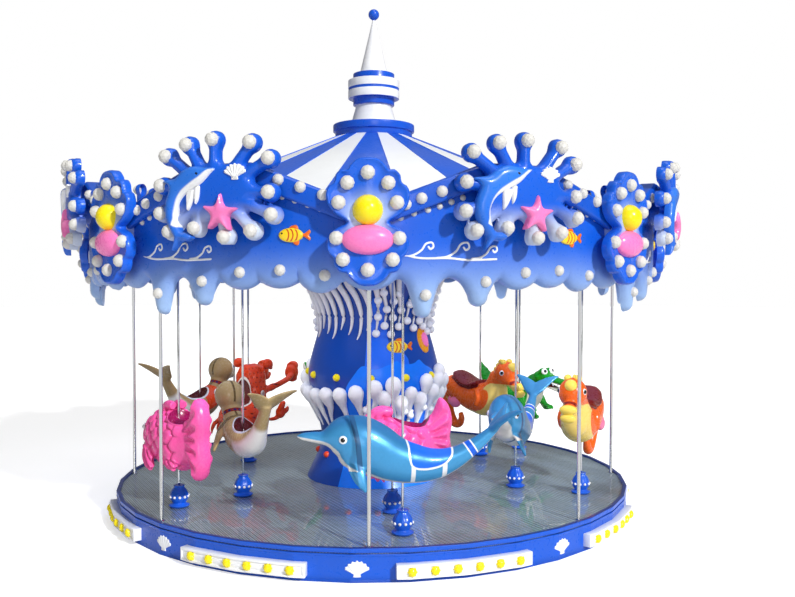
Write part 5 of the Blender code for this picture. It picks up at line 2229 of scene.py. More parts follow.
@dataclass
class Figure:
    """One kind of riding figure in its own frame: +X the way it goes, +Y outwards, +Z up from the seat.

    A station is a section of its body: x, y, z, half width and half height.
    """

    kind: str = ""
    stations: tuple[Station, ...] = ()
    turn: float = 0.0
    voxel: float = 0.010
    smoothing: int = 3
    kept: float = 0.5
    hollow: tuple[Point3, Point3] | None = None

    def __post_init__(self) -> None:
        """Starts with no mesh; the first copy makes it."""
        self.mesh: Mesh | None = None
        self.trim: Mesh | None = None

    def parts(self, bm: BMesh) -> None:
        """Adds the closed parts that are fused into one body."""
        raise NotImplementedError

    def sculpt(self, p: Array, normals: Array) -> Array:
        """Where the fused body's points move to."""
        return self.scooped(p, normals)

    def scooped(self, p: Array, normals: Array) -> Array:
        """Presses the seat's hollow into the body, with a rolled lip.

        Args:
            p: The points, a row each.
            normals: The way out of the skin at each point.

        Returns:
            The moved points.
        """
        if self.hollow is None:
            return p
        reach = self.seat_reach(p)
        lip = np.clip(1 - np.abs(reach - 1.05) / 0.06, 0, 1)
        moved = p + normals * (0.009 * lip)[:, None]
        centre, radii = (np.array(part) for part in self.hollow)
        q = (moved - centre) / radii
        reach = np.sqrt((q**2).sum(axis=1))
        inside = reach < 1
        moved[inside] = centre + radii * q[inside] / reach[inside][:, None]
        return moved

    def seat_reach(self, p: Array) -> Array:
        """How far out of the seat's egg a point is: 1 on its skin."""
        centre, radii = (np.array(part) for part in self.hollow)
        return np.sqrt((((p - centre) / radii) ** 2).sum(axis=1))

    def paint(self, p: Array) -> dict[str, Array]:
        """The distances that the finish's layers read."""
        return {}

    def details(self) -> list[Detail]:
        """Eyes and other small parts."""
        return []

    @staticmethod
    def body(bm: BMesh, stations: Sequence[Station], sides: int = 24,
             across: Point3 = (0, 1, 0), parts: int = 4) -> None:
        """A smooth closed body through a few stations."""
        loft(bm, [tuple(row) for row in smooth_curve(stations, parts)], sides, Vector(across))

    def both_sides(self, bm: BMesh, *bars: tuple) -> None:
        """Adds smooth closed bars on both sides.

        Args:
            bm: Where they go.
            bars: Each one's stations on the +Y side, its number of sides and the way of its half width.
        """
        for side in (-1, 1):
            for stations, *how in bars:
                self.body(bm, [(x, side * y, *rest) for x, y, *rest in stations], *how)

    def at(self, x: Array | float, *columns: int) -> list[Array]:
        """Numbers of the stations, by their place in a row, where the body's middle line has these x."""
        rows = np.array(self.stations)[::-1]
        return [np.interp(x, rows[:, 0], rows[:, k]) for k in columns]

    @staticmethod
    def ball(bm: BMesh, centre: Sequence[float], radii: Sequence[float]) -> None:
        """A closed ball or egg."""
        scale = Matrix.Diagonal((*radii, 1))
        bmesh.ops.create_icosphere(bm, subdivisions=3, radius=1, matrix=Matrix.Translation(centre) @ scale)

    @staticmethod
    def plate(bm: BMesh, inside: Field, low: Point, high: Point, step: float,
              rise: Rise) -> None:
        """A plate in the figure's middle plane, the same on both sides.

        Args:
            bm: Where the shape goes.
            inside: Distance inside the outline.
            low: The grid's lower left corner.
            high: The grid's upper right corner.
            step: The grid's step.
            rise: The height over the plane, from the points and their depths.
        """
        for side in (1, -1):
            half = Relief(inside, low, high, step, rise, -0.012).build()
            for vert in half.verts:
                x, z, y = vert.co
                vert.co = (x, side * y, z)
            bmesh.ops.recalc_face_normals(half, faces=half.faces)
            merge(bm, half)

    def fuse(self) -> Mesh:
        """The parts as one skin, smoothed, sculpted and painted.

        Returns:
            The skin, in the figure's own frame.
        """
        bm = bmesh.new()
        self.parts(bm)
        bmesh.ops.recalc_face_normals(bm, faces=bm.faces)
        mesh = made_by(kept_mesh(bm, self.kind), "REMESH", mode="VOXEL", voxel_size=self.voxel)
        bm = bmesh.new()
        bm.from_mesh(mesh)
        axes = ("use_axis_x", "use_axis_y", "use_axis_z")
        for _ in range(self.smoothing):
            bmesh.ops.smooth_vert(bm, verts=bm.verts, factor=0.5, **dict.fromkeys(axes, True))
        bm.normal_update()
        p = np.array([vert.co[:] for vert in bm.verts])
        normals = np.array([vert.normal[:] for vert in bm.verts])
        for vert, spot in zip(bm.verts, self.sculpt(p, normals)):
            vert.co = spot
        bmesh.ops.recalc_face_normals(bm, faces=bm.faces)
        bm.to_mesh(mesh)
        bm.free()
        mesh = thinned(mesh, self.kept, 180)
        for name, values in self.paint(mesh_points(mesh)).items():
            set_attribute(mesh, name, values)
        return mesh

    def dress_trim(self) -> Mesh | None:
        """The small parts as one mesh with a material for each finish.

        Returns:
            The mesh, or none where there are no small parts.
        """
        found = self.details()
        if not found:
            return None
        bm = bmesh.new()
        for index, detail in enumerate(found):
            known = len(bm.faces)
            stamped(bm, detail.template, detail.spots)
            bm.faces.ensure_lookup_table()
            for face in bm.faces[known:]:
                face.material_index = index
        return mesh_of(bm, f"{self.kind}_trim", [detail.finish for detail in found], 60)

    def ride(self, name: str, degrees: float, circle: float, seat: float, look: Finish) -> None:
        """Sets one copy on its pole.

        Args:
            name: The figure's node.
            degrees: Its angle round the deck.
            circle: Its distance from the axis.
            seat: The seat's height.
            look: The copy's finish.
        """
        if self.mesh is None:
            self.mesh = self.fuse()
            self.trim = self.dress_trim()
        angle = math.radians(degrees)
        heading = angle + math.pi + math.radians(self.turn)
        spot = Matrix.Translation(place(angle, circle, seat)) @ Matrix.Rotation(heading, 4, "Z")
        body = f"ride_{name}"
        skin = self.mesh.copy()
        skin.materials.clear()
        skin.materials.append(look.material())
        skin.transform(spot)
        new_object(f"{name}_skin", skin, body, [name], look.slot)
        if self.trim:
            trim = self.trim.copy()
            trim.transform(spot)
            new_object(f"{name}_trim", trim, body, [], look.slot)


def eyes(white: Point3, black: Point3, sizes: Point, way: Point3, flat: float = 0.5,
         finishes: tuple[Finish, Finish] = (Finishes.eye_white, Finishes.eye_black)) -> list[Detail]:
    """A ringed eye on either side of a head.

    Args:
        white: The middle of the ball on the +Y side.
        black: The middle of the pupil on that side.
        sizes: The radius of the ball and of the pupil.
        way: The way that this eye looks.
        flat: How thick they are along that way, for a radius of 1.
        finishes: The ball's finish and the pupil's.

    Returns:
        The balls and the pupils.
    """
    templates = (jewel_template("eye_ball", 0.3, 4), jewel_template("pupil", 0.3, 3))
    squeeze = Matrix.Scale(flat, 4, (0, 0, 1))
    made = []
    for (x, y, z), size, template, finish in zip((white, black), sizes, templates, finishes):
        spots = []
        for side in (-1, 1):
            looking = Vector((way[0], side * way[1], way[2]))
            spots.append(facing(Vector((x, side * y, z)), looking, size) @ squeeze)
        made.append(Detail(finish, template, spots))
    return made


@dataclass(frozen=True)
class Spine:
    """A body's middle line, to measure along it and round it."""

    stations: tuple[Station, ...]

    def measure(self, p: Array) -> tuple[Array, Array, Array]:
        """Length along the line, height over it, and the body's half height there.

        Args:
            p: The points, a row each.

        Returns:
            Those three numbers for each point.
        """
        rows = smooth_curve(self.stations, 6)
        line = rows[:, [0, 2]]
        ahead = np.gradient(line, axis=0)
        ahead /= np.hypot(ahead[:, 0], ahead[:, 1])[:, None]
        length = np.concatenate([[0], np.cumsum(np.hypot(*np.diff(line, axis=0).T))])
        side = p[:, [0, 2]]
        across, up = (side[:, k, None] - line[None, :, k] for k in (0, 1))
        nearest = np.hypot(across, up).argmin(axis=1)
        off, way = side - line[nearest], ahead[nearest]
        along = length[nearest] + (off * way).sum(axis=1)
        rise = off[:, 0] * way[:, 1] - off[:, 1] * way[:, 0]
        return along, rise, rows[nearest, 4]


@dataclass
class Dolphin(Figure):
    """A dolphin with a saddle blanket, bent like a leap."""

    kind: str = "dolphin"
    kept: float = 0.7
    stations: tuple[Station, ...] = (
        (0.918, 0, -0.004, 0.007, 0.006), (0.90, 0, -0.006, 0.017, 0.015), (0.86, 0, -0.008, 0.031, 0.033),
        (0.78, 0, -0.015, 0.044, 0.046), (0.70, 0, -0.023, 0.059, 0.056), (0.65, 0, -0.020, 0.089, 0.086),
        (0.60, 0, -0.017, 0.117, 0.138), (0.53, 0, -0.020, 0.145, 0.187), (0.466, 0, -0.038, 0.164, 0.217),
        (0.40, 0, -0.066, 0.177, 0.236), (0.31, 0, -0.103, 0.184, 0.236), (0.22, 0, -0.147, 0.180, 0.224),
        (0.12, 0, -0.204, 0.172, 0.207), (0.0, 0, -0.247, 0.158, 0.187), (-0.10, 0, -0.266, 0.146, 0.172),
        (-0.20, 0, -0.277, 0.131, 0.153), (-0.30, 0, -0.272, 0.116, 0.134),
        (-0.40, 0, -0.248, 0.098, 0.112), (-0.50, 0, -0.206, 0.083, 0.092),
        (-0.60, 0, -0.145, 0.067, 0.074), (-0.70, 0, -0.075, 0.053, 0.058), (-0.80, 0, 0.012, 0.040, 0.042),
        (-0.86, 0, 0.075, 0.044, 0.030))

    def parts(self, bm: BMesh) -> None:
        """Body, pectoral fins and flukes."""
        self.body(bm, self.stations, 32, parts=3)
        self.both_sides(
            bm,
            ([(0.43, 0.09, -0.20, 0.080, 0.030), (0.405, 0.145, -0.29, 0.074, 0.024),
                  (0.375, 0.175, -0.38, 0.050, 0.019), (0.335, 0.190, -0.46, 0.014, 0.014)], 16, (1, 0, 0)),
            ([(-0.80, 0, 0.02, 0.06, 0.036), (-0.855, 0.045, 0.085, 0.085, 0.028),
              (-0.91, 0.12, 0.145, 0.062, 0.020), (-0.96, 0.19, 0.185, 0.036, 0.015),
              (-0.995, 0.25, 0.21, 0.010, 0.012)], 16, (-0.7, 0, 0.7)))

    def paint(self, p: Array) -> dict[str, Array]:
        """White underside, painted shade along the top of the body, strap, blanket, girths and tail band.

        Args:
            p: The points, a row each.

        Returns:
            The distances by their attribute's name.
        """
        along, rise, half = Spine(self.stations).measure(p)
        side_view = p[:, [0, 2]]
        limit = np.interp(along, [0.0, 0.12, 0.22, 0.30, 0.40, 0.50, 0.60, 2.0],
                          [-0.10, -0.30, -0.38, -0.56, -0.74, -0.82, -0.86, -0.86])
        belly = limit * half - rise
        fin = (np.abs(p[:, 1]) > 0.135) & (p[:, 2] < -0.29) & (p[:, 0] > 0.2) | (p[:, 0] < -0.83)
        strap_line = np.interp(p[:, 2], [-0.40, -0.22, -0.05, 0.18], [0.366, 0.388, 0.404, 0.452])
        strap = 0.023 - np.abs(p[:, 0] - strap_line)
        blanket = outline([
            (-0.030, 0.10), (-0.030, -0.10), (-0.042, -0.23), (-0.085, -0.285), (-0.20, -0.300),
            (-0.33, -0.275), (-0.41, -0.215), (-0.440, -0.13), (-0.44, 0.10)], 3)(side_view)
        girths = np.maximum(0.019 - np.abs(p[:, 0] + 0.075), 0.021 - np.abs(p[:, 0] + 0.355))
        girths = np.minimum(girths, 0.012 - blanket)
        band = 0.036 - np.abs(-0.83 * p[:, 0] + 0.55 * p[:, 2] - 0.421)
        # crest darkens the top of the body: painted shade
        return {"belly": np.where(fin, -1.0, belly), "strap": np.where(fin, -1.0, strap),
                "crest": rise - 0.62 * half, "blanket": blanket, "blanket_in": blanket - 0.017,
                "girths": girths, "band": band, "band_in": band - 0.013}

    def details(self) -> list[Detail]:
        """Ringed eyes."""
        return eyes((0.528, 0.144, -0.020), (0.531, 0.155, -0.019), (0.036, 0.021), (0.25, 1, 0.05))


@dataclass
class TanDolphin(Figure):
    """A round-headed dolphin with a collar, a scooped seat and a deep body."""

    kind: str = "tan_dolphin"
    turn: float = -7.0
    kept: float = 0.7
    stations: tuple[Station, ...] = (
        (0.46, 0, 0.04, 0.10, 0.10), (0.38, 0, -0.03, 0.115, 0.115), (0.325, 0, -0.13, 0.098, 0.098),
        (0.28, 0, -0.195, 0.104, 0.104), (0.20, 0, -0.275, 0.138, 0.148), (0.08, 0, -0.345, 0.160, 0.170),
        (-0.08, 0, -0.375, 0.167, 0.165), (-0.19, 0, -0.372, 0.160, 0.152),
        (-0.29, 0, -0.345, 0.136, 0.126), (-0.39, 0, -0.27, 0.100, 0.095),
        (-0.475, 0, -0.175, 0.074, 0.072), (-0.54, 0, -0.085, 0.062, 0.060),
        (-0.59, 0, -0.01, 0.056, 0.052), (-0.64, 0, 0.055, 0.055, 0.040))
    hollow: tuple[Point3, Point3] | None = ((-0.118, 0, -0.105), (0.205, 0.145, 0.235))

    def parts(self, bm: BMesh) -> None:
        """Body, round head, muzzle, fins and flukes.

        Args:
            bm: Where the shape goes.
        """
        self.body(bm, self.stations, 28, parts=3)
        self.ball(bm, (0.385, 0, 0.03), (0.158, 0.158, 0.158))
        self.body(bm, [(0.44, 0, 0.01, 0.12, 0.11), (0.52, 0, -0.025, 0.088, 0.076),
                       (0.58, 0, -0.045, 0.062, 0.052), (0.605, 0, -0.05, 0.03, 0.026)], 20)
        self.both_sides(
            bm,
            ([(0.27, 0.09, -0.24, 0.085, 0.032), (0.25, 0.15, -0.33, 0.085, 0.026),
                  (0.225, 0.20, -0.42, 0.060, 0.020), (0.19, 0.245, -0.51, 0.014, 0.014)], 16, (1, 0, 0)),
            ([(-0.59, 0, 0.01, 0.06, 0.036), (-0.64, 0.045, 0.075, 0.085, 0.028),
              (-0.70, 0.12, 0.135, 0.062, 0.020), (-0.75, 0.19, 0.175, 0.036, 0.015),
              (-0.785, 0.25, 0.20, 0.010, 0.012)], 16, (-0.7, 0, 0.7)))

    def paint(self, p: Array) -> dict[str, Array]:
        """Collar with gems, head stripe, white under the tail and the seat's lining.

        Args:
            p: The points, a row each.

        Returns:
            The distances by their attribute's name.
        """
        along, rise, half = Spine(self.stations).measure(p)
        neck = 0.245
        band = 0.024 - np.abs(along - neck)
        turn = np.arctan2(p[:, 1], rise)
        gem = 0.019 - np.abs(along - neck) * 1.1 - np.abs((turn + 0.3) % 0.6 - 0.3) * 0.085
        head = np.hypot(p[:, 0] - 0.385, p[:, 2] - 0.03)
        stripe_end = np.where(head < 0.2, p[:, 2] + 0.02, neck + 0.16 - along)
        stripe = np.minimum(0.011 - np.abs(p[:, 1]), stripe_end)
        stripe = np.minimum(stripe, p[:, 2] - p[:, 0] + 0.49)
        shadow = np.minimum(0.030 - np.abs(along - neck - 0.125), 0.02)
        white = np.minimum(-rise + 0.05 * half, 0.21 - np.abs(along - 0.98))
        reach = self.seat_reach(p)
        return {"belly": white, "strap": band, "gem": np.minimum(gem, band), "stripe": stripe,
                "shadow": shadow, "blanket": (1.14 - reach) * 0.15, "blanket_in": (1.025 - reach) * 0.15,
                "cover": np.minimum(0.17 - np.abs(along - 0.50), rise + 0.05)}

    def details(self) -> list[Detail]:
        """Ringed eyes."""
        return eyes((0.465, 0.124, 0.065), (0.470, 0.134, 0.067), (0.032, 0.019), (0.55, 1, 0.2))


@dataclass
class ScaledFish(Figure):
    """A round fish with cobbled scales, a seat hollow and a tall ribbed tail."""

    kind: str = "fish"
    voxel: float = 0.009
    smoothing: int = 2
    stations: tuple[Station, ...] = (
        (0.480, 0, -0.17, 0.020, 0.030), (0.466, 0, -0.17, 0.09, 0.11), (0.43, 0, -0.175, 0.150, 0.175),
        (0.36, 0, -0.18, 0.200, 0.225), (0.25, 0, -0.19, 0.232, 0.260), (0.10, 0, -0.195, 0.242, 0.276),
        (-0.08, 0, -0.20, 0.235, 0.275), (-0.22, 0, -0.20, 0.205, 0.250), (-0.34, 0, -0.19, 0.135, 0.20),
        (-0.44, 0, -0.17, 0.070, 0.13))
    hollow: tuple[Point3, Point3] | None = ((-0.165, 0, 0.105), (0.190, 0.180, 0.185))
    cobble: float = 0.135

    def parts(self, bm: BMesh) -> None:
        """Body, crest, side fins, lips and tail.

        Args:
            bm: Where the shape goes.
        """
        self.body(bm, self.stations, 32, parts=3)
        lobes = outline([(-0.27, 0.03), (-0.345, 0.05), (-0.40, 0.14), (-0.435, 0.225), (-0.465, 0.245),
                         (-0.52, 0.20), (-0.560, 0.11), (-0.572, 0.0), (-0.552, -0.13), (-0.575, -0.27),
                         (-0.572, -0.38), (-0.53, -0.48), (-0.475, -0.525), (-0.44, -0.50), (-0.40, -0.41),
                         (-0.33, -0.33), (-0.25, -0.30)], 3)

        def rise(p: Array, depth: Array) -> Array:
            """A rounded plate with a fan of ribs on its tail.

            Args:
                p: The points, a row each.
                depth: How far inside the outline each point is.

            Returns:
                One height for each point.
            """
            turn = np.arctan2(p[:, 1] + 0.14, -(p[:, 0] + 0.22))
            fan = 0.024 * np.cos(turn * 17) * pillow(np.clip(depth - 0.040, 0, None), 0.05)
            return 0.090 * pillow(depth, 0.075) - fan * np.clip((-p[:, 0] - 0.30) / 0.06, 0, 1)

        self.plate(bm, lobes, (-0.60, -0.55), (-0.22, 0.27), 0.011, rise)
        self.both_sides(
            bm,
            ([(0.20, 0.045, 0.04, 0.045, 0.05), (0.15, 0.050, 0.105, 0.050, 0.050),
                  (0.08, 0.052, 0.130, 0.048, 0.042), (0.005, 0.052, 0.120, 0.030, 0.030)], 14),
            ([(0.34, 0.15, -0.24, 0.085, 0.035), (0.25, 0.215, -0.32, 0.105, 0.036),
              (0.16, 0.240, -0.40, 0.085, 0.028), (0.09, 0.240, -0.465, 0.030, 0.016)], 16, (0.6, 0, -0.8)),
            ([(-0.06, 0.17, -0.28, 0.07, 0.035), (-0.16, 0.175, -0.35, 0.085, 0.032),
              (-0.25, 0.150, -0.41, 0.045, 0.020)], 16, (0.6, 0, -0.8)))

    def sculpt(self, p: Array, normals: Array) -> Array:
        """Cobbles on the body, ribs on the side fins, and the seat's hollow.

        Args:
            p: The points, a row each.
            normals: The way out of the skin at each point.

        Returns:
            The moved points.
        """
        seeds = []
        for i, x in enumerate(np.arange(-0.27, 0.50, 0.100)):
            middle, wide, high = self.at(x, 2, 3, 4)
            count = max(5, round(math.pi * (wide + high) / self.cobble))
            for k in range(count):
                turn = math.tau * (k + 0.5 * (i % 2)) / count
                seeds.append((x, wide * math.cos(turn), middle + high * math.sin(turn)))
        away = np.sqrt(((p[:, None, :] - np.array(seeds)[None]) ** 2).sum(axis=2))
        away.sort(axis=1)
        groove = np.clip((away[:, 1] - away[:, 0]) / 0.078, 0, 1)
        bulge = np.sqrt(1 - (1 - groove) ** 2)
        middle, wide, high = self.at(p[:, 0], 2, 3, 4)
        skin = np.hypot(p[:, 1] / wide, (p[:, 2] - middle) / high)
        on_body = np.clip((1.16 - skin) / 0.08, 0, 1) * np.clip((p[:, 0] + 0.30) / 0.05, 0, 1)
        on_body *= 1 - np.clip((1.18 - self.seat_reach(p)) / 0.08, 0, 1)
        rib = np.clip((skin - 1.06) / 0.05, 0, 1) * (p[:, 2] < -0.24) * (p[:, 0] > -0.27)
        ribs = 0.014 * rib * np.cos(150 * (0.8 * p[:, 0] - 0.6 * p[:, 2]))
        return self.scooped(p + normals * (0.048 * (bulge - 0.66) * on_body + ribs)[:, None], normals)

    def paint(self, p: Array) -> dict[str, Array]:
        """The seat's darker lining."""
        return {"seat": np.where(p[:, 2] < 0.10, (1.02 - self.seat_reach(p)) * 0.15, -1.0)}

    def details(self) -> list[Detail]:
        """Ringed eyes."""
        return eyes((0.40, 0.182, -0.115), (0.405, 0.194, -0.114), (0.036, 0.021), (0.55, 1, 0.1))


@dataclass
class Seahorse(Figure):
    """A seahorse lying forward, with yellow lips, knobs, crest and belly."""

    kind: str = "seahorse"
    stations: tuple[Station, ...] = (
        (0.34, 0, 0.14, 0.105, 0.12), (0.30, 0, 0.04, 0.125, 0.13), (0.24, 0, -0.09, 0.165, 0.185),
        (0.12, 0, -0.18, 0.190, 0.205), (-0.02, 0, -0.185, 0.190, 0.185), (-0.16, 0, -0.165, 0.190, 0.170),
        (-0.30, 0, -0.10, 0.185, 0.165), (-0.44, 0, -0.075, 0.165, 0.155), (-0.56, 0, -0.115, 0.130, 0.140),
        (-0.635, 0, -0.21, 0.095, 0.105), (-0.63, 0, -0.32, 0.080, 0.085), (-0.59, 0, -0.42, 0.070, 0.072),
        (-0.53, 0, -0.51, 0.062, 0.062), (-0.455, 0, -0.560, 0.055, 0.055),
        (-0.38, 0, -0.545, 0.048, 0.048), (-0.345, 0, -0.475, 0.040, 0.040),
        (-0.365, 0, -0.405, 0.030, 0.030))

    def parts(self, bm: BMesh) -> None:
        """Body and hooked tail, head, snout, cheeks and saddle rolls.

        Args:
            bm: Where the shape goes.
        """
        self.body(bm, self.stations, 28, parts=3)
        self.ball(bm, (0.455, 0, 0.165), (0.150, 0.140, 0.150))
        self.ball(bm, (0.36, 0, 0.10), (0.12, 0.12, 0.13))
        self.body(bm, [(0.50, 0, 0.10, 0.085, 0.075), (0.575, 0, 0.055, 0.064, 0.060),
                       (0.635, 0, 0.012, 0.060, 0.060), (0.66, 0, -0.005, 0.050, 0.050)], 18)
        self.ball(bm, (0.325, 0, -0.14), (0.105, 0.125, 0.165))
        self.body(bm, [(0.06, 0, 0.030, 0.15, 0.035), (-0.06, 0, -0.012, 0.185, 0.040),
                       (-0.20, 0, 0.012, 0.185, 0.045), (-0.33, 0, 0.075, 0.155, 0.045),
                       (-0.40, 0, 0.115, 0.10, 0.035)], 20)
        self.both_sides(bm, ([(0.10, 0.150, -0.05, 0.05, 0.035), (0.15, 0.160, -0.14, 0.06, 0.035),
                              (0.10, 0.160, -0.24, 0.05, 0.030)], 14))

    def paint(self, p: Array) -> dict[str, Array]:
        """Yellow belly and the dark saddle.

        Args:
            p: The points, a row each.

        Returns:
            The distances by their attribute's name.
        """
        front = np.interp(p[:, 2], [-0.42, -0.36, -0.20, 0.0, 0.06], [0.0, 0.06, 0.16, 0.22, 0.33])
        belly = np.minimum(p[:, 0] - front, np.minimum(0.150 - np.abs(p[:, 1]), 0.045 - p[:, 2]))
        low = np.interp(p[:, 0], [-0.60, -0.30, 0.0, 0.2], [-0.21, -0.235, -0.32, -0.33])
        under = np.minimum(np.minimum(low - p[:, 2], 0.135 - np.abs(p[:, 1])), p[:, 0] + 0.56)
        tail = np.minimum(p[:, 0] + 0.60, -0.28 - p[:, 2]) * (p[:, 0] < -0.3) - (p[:, 0] >= -0.3)
        collar = 0.010 - np.abs(np.hypot(p[:, 1] * 0.9, p[:, 2] - 0.02) - 0.072)
        ring = np.interp(p[:, 0], [-0.42, -0.33, -0.20, -0.06, 0.08], [0.09, 0.06, 0.0, -0.022, 0.02])
        saddle = np.minimum(p[:, 2] - ring + 0.045, np.minimum(p[:, 0] + 0.44, 0.07 - p[:, 0]))
        return {"belly": np.maximum(belly, np.where(tail > 0, -1.0, under)), "saddle": saddle,
                "collar": np.where(p[:, 0] > 0.57, collar, -1.0)}

    def details(self) -> list[Detail]:
        """Lips, knobs, crest, eyes and the small fish that serve as foot rests.

        Returns:
            The small parts.
        """
        ball = jewel_template("round_knob", 0.95, 3)
        knobs = [facing(Vector((0.556, 0, 0.246)), Vector((0.6, 0, 1)), 0.062)]
        knobs += [facing(Vector((0.455, s * 0.050, 0.306)), Vector((0, 0, 1)), 0.038) for s in (-1, 1)]
        for z, wide in ((0.028, 0.086), (-0.054, 0.078)):
            lip = Matrix.Translation((0.682, 0, z)) @ Matrix.Diagonal((0.050, wide, 0.047, 1))
            knobs.append(lip)
        for k in range(7):
            share = k / 6
            spine = Vector((0.365 - 0.25 * share + 0.03 * share**2, 0, 0.300 - 0.29 * share))
            knobs.append(Matrix.Translation(spine) @ Matrix.Diagonal((0.042, 0.024, 0.036, 1)))
        looking = eyes((0.505, 0.118, 0.185), (0.511, 0.129, 0.186), (0.034, 0.021), (0.6, 1, 0.1))
        rests = []
        for s in (-1, 1):
            middle = Matrix.Translation((-0.30, s * 0.150, -0.250))
            rests.append(middle @ Matrix.Diagonal((0.095, 0.045, 0.070, 1)))
            tail = middle @ Matrix.Translation((-0.105, 0, 0.015))
            rests.append(tail @ Matrix.Diagonal((0.030, 0.020, 0.052, 1)))
        return [Detail(Finishes.lemon, ball, knobs), *looking, Detail(Finishes.rest_pink, ball, rests)]


@dataclass
class Crocodile(Figure):
    """A crocodile leaning forward with curled hands and a raised tail."""

    kind: str = "crocodile"
    stations: tuple[Station, ...] = (
        (0.33, 0, 0.06, 0.10, 0.105), (0.27, 0, -0.02, 0.125, 0.14), (0.18, 0, -0.14, 0.165, 0.18),
        (0.06, 0, -0.23, 0.195, 0.19), (-0.10, 0, -0.26, 0.205, 0.185), (-0.26, 0, -0.24, 0.185, 0.165),
        (-0.40, 0, -0.18, 0.145, 0.135), (-0.53, 0, -0.08, 0.105, 0.10), (-0.63, 0, 0.03, 0.075, 0.075),
        (-0.70, 0, 0.115, 0.050, 0.050), (-0.735, 0, 0.195, 0.016, 0.018))

    def parts(self, bm: BMesh) -> None:
        """Body and tail, head, both jaws, brows, arms and legs.

        Args:
            bm: Where the shape goes.
        """
        self.body(bm, self.stations, 28, parts=3)
        self.ball(bm, (0.40, 0, 0.085), (0.12, 0.115, 0.10))
        self.body(bm, [(0.40, 0, 0.10, 0.105, 0.075), (0.52, 0, 0.095, 0.092, 0.050),
                       (0.64, 0, 0.070, 0.078, 0.038), (0.74, 0, 0.055, 0.070, 0.040),
                       (0.80, 0, 0.045, 0.055, 0.030), (0.825, 0, 0.04, 0.02, 0.014)], 18)
        self.body(bm, [
            (0.38, 0, 0.01, 0.095, 0.045), (0.50, 0, 0.000, 0.085, 0.028), (0.64, 0, -0.035, 0.068, 0.022),
            (0.75, 0, -0.058, 0.050, 0.020), (0.785, 0, -0.062, 0.020, 0.014)], 16)
        for side in (-1, 1):
            self.ball(bm, (0.455, side * 0.055, 0.160), (0.058, 0.046, 0.055))
            self.ball(bm, (0.775, side * 0.032, 0.078), (0.026, 0.022, 0.020))
            self.body(bm, [
                (0.16, side * 0.13, -0.14, 0.055, 0.055), (0.21, side * 0.19, -0.22, 0.048, 0.048),
                (0.27, side * 0.185, -0.29, 0.042, 0.042), (0.34, side * 0.15, -0.305, 0.048, 0.042)], 14)
            for k in range(3):
                self.body(bm, [(0.34, side * (0.12 + 0.03 * k), -0.300, 0.018, 0.018),
                               (0.385, side * (0.115 + 0.038 * k), -0.295, 0.018, 0.018),
                               (0.405, side * (0.112 + 0.040 * k), -0.330, 0.015, 0.015)], 8)
            self.body(bm, [
                (-0.10, side * 0.13, -0.30, 0.075, 0.070), (0.0, side * 0.205, -0.38, 0.060, 0.055),
                (0.06, side * 0.215, -0.46, 0.045, 0.040), (0.12, side * 0.215, -0.475, 0.045, 0.026)], 14)
        for k in range(9):
            x = 0.14 - 0.095 * k
            if abs(x) > 0.05:
                self.ball(bm, (x, 0, sum(self.at(x, 2, 4))), (0.038, 0.020, 0.032))

    def sculpt(self, p: Array, normals: Array) -> Array:
        """Rows of low bumps over the back."""
        bumps = np.cos(72 * p[:, 0]) * np.cos(72 * p[:, 1]) * np.clip((normals[:, 2] + 0.1) * 1.5, 0, 1)
        return p + normals * (0.0035 * bumps * (p[:, 0] < 0.35))[:, None]

    def paint(self, p: Array) -> dict[str, Array]:
        """White belly and dark mouth.

        Args:
            p: The points, a row each.

        Returns:
            The distances by their attribute's name.
        """
        middle, half = self.at(p[:, 0], 2, 4)
        belly = np.minimum((-0.35 - (p[:, 2] - middle) / half) * half, 0.135 - np.abs(p[:, 1]))
        belly = np.where(p[:, 0] > 0.30, np.minimum(-0.01 - p[:, 2], 0.09 - np.abs(p[:, 1])), belly)
        lips = np.interp(p[:, 0], [0.42, 0.80], [0.028, -0.008])
        mouth = np.minimum(0.022 - np.abs(p[:, 2] - lips), p[:, 0] - 0.46)
        return {"belly": belly, "mouth": mouth}

    def details(self) -> list[Detail]:
        """Big eyes and teeth.

        Returns:
            The small parts.
        """
        looking = eyes((0.492, 0.060, 0.172), (0.512, 0.068, 0.180), (0.040, 0.019), (1, 0.5, 0.35), 0.6)
        tooth = jewel_template("tooth", 0.9, 2)
        teeth = []
        for s in (-1, 1):
            for k in range(5):
                x = 0.52 + 0.062 * k
                wide = np.interp(x, [0.5, 0.8], [0.082, 0.050])
                high = np.interp(x, [0.42, 0.80], [0.048, 0.012])
                gum = Matrix.Translation((x, s * wide, high))
                teeth.append(gum @ Matrix.Diagonal((0.011, 0.009, 0.021, 1)))
        return [*looking, Detail(Finishes.tooth, tooth, teeth)]


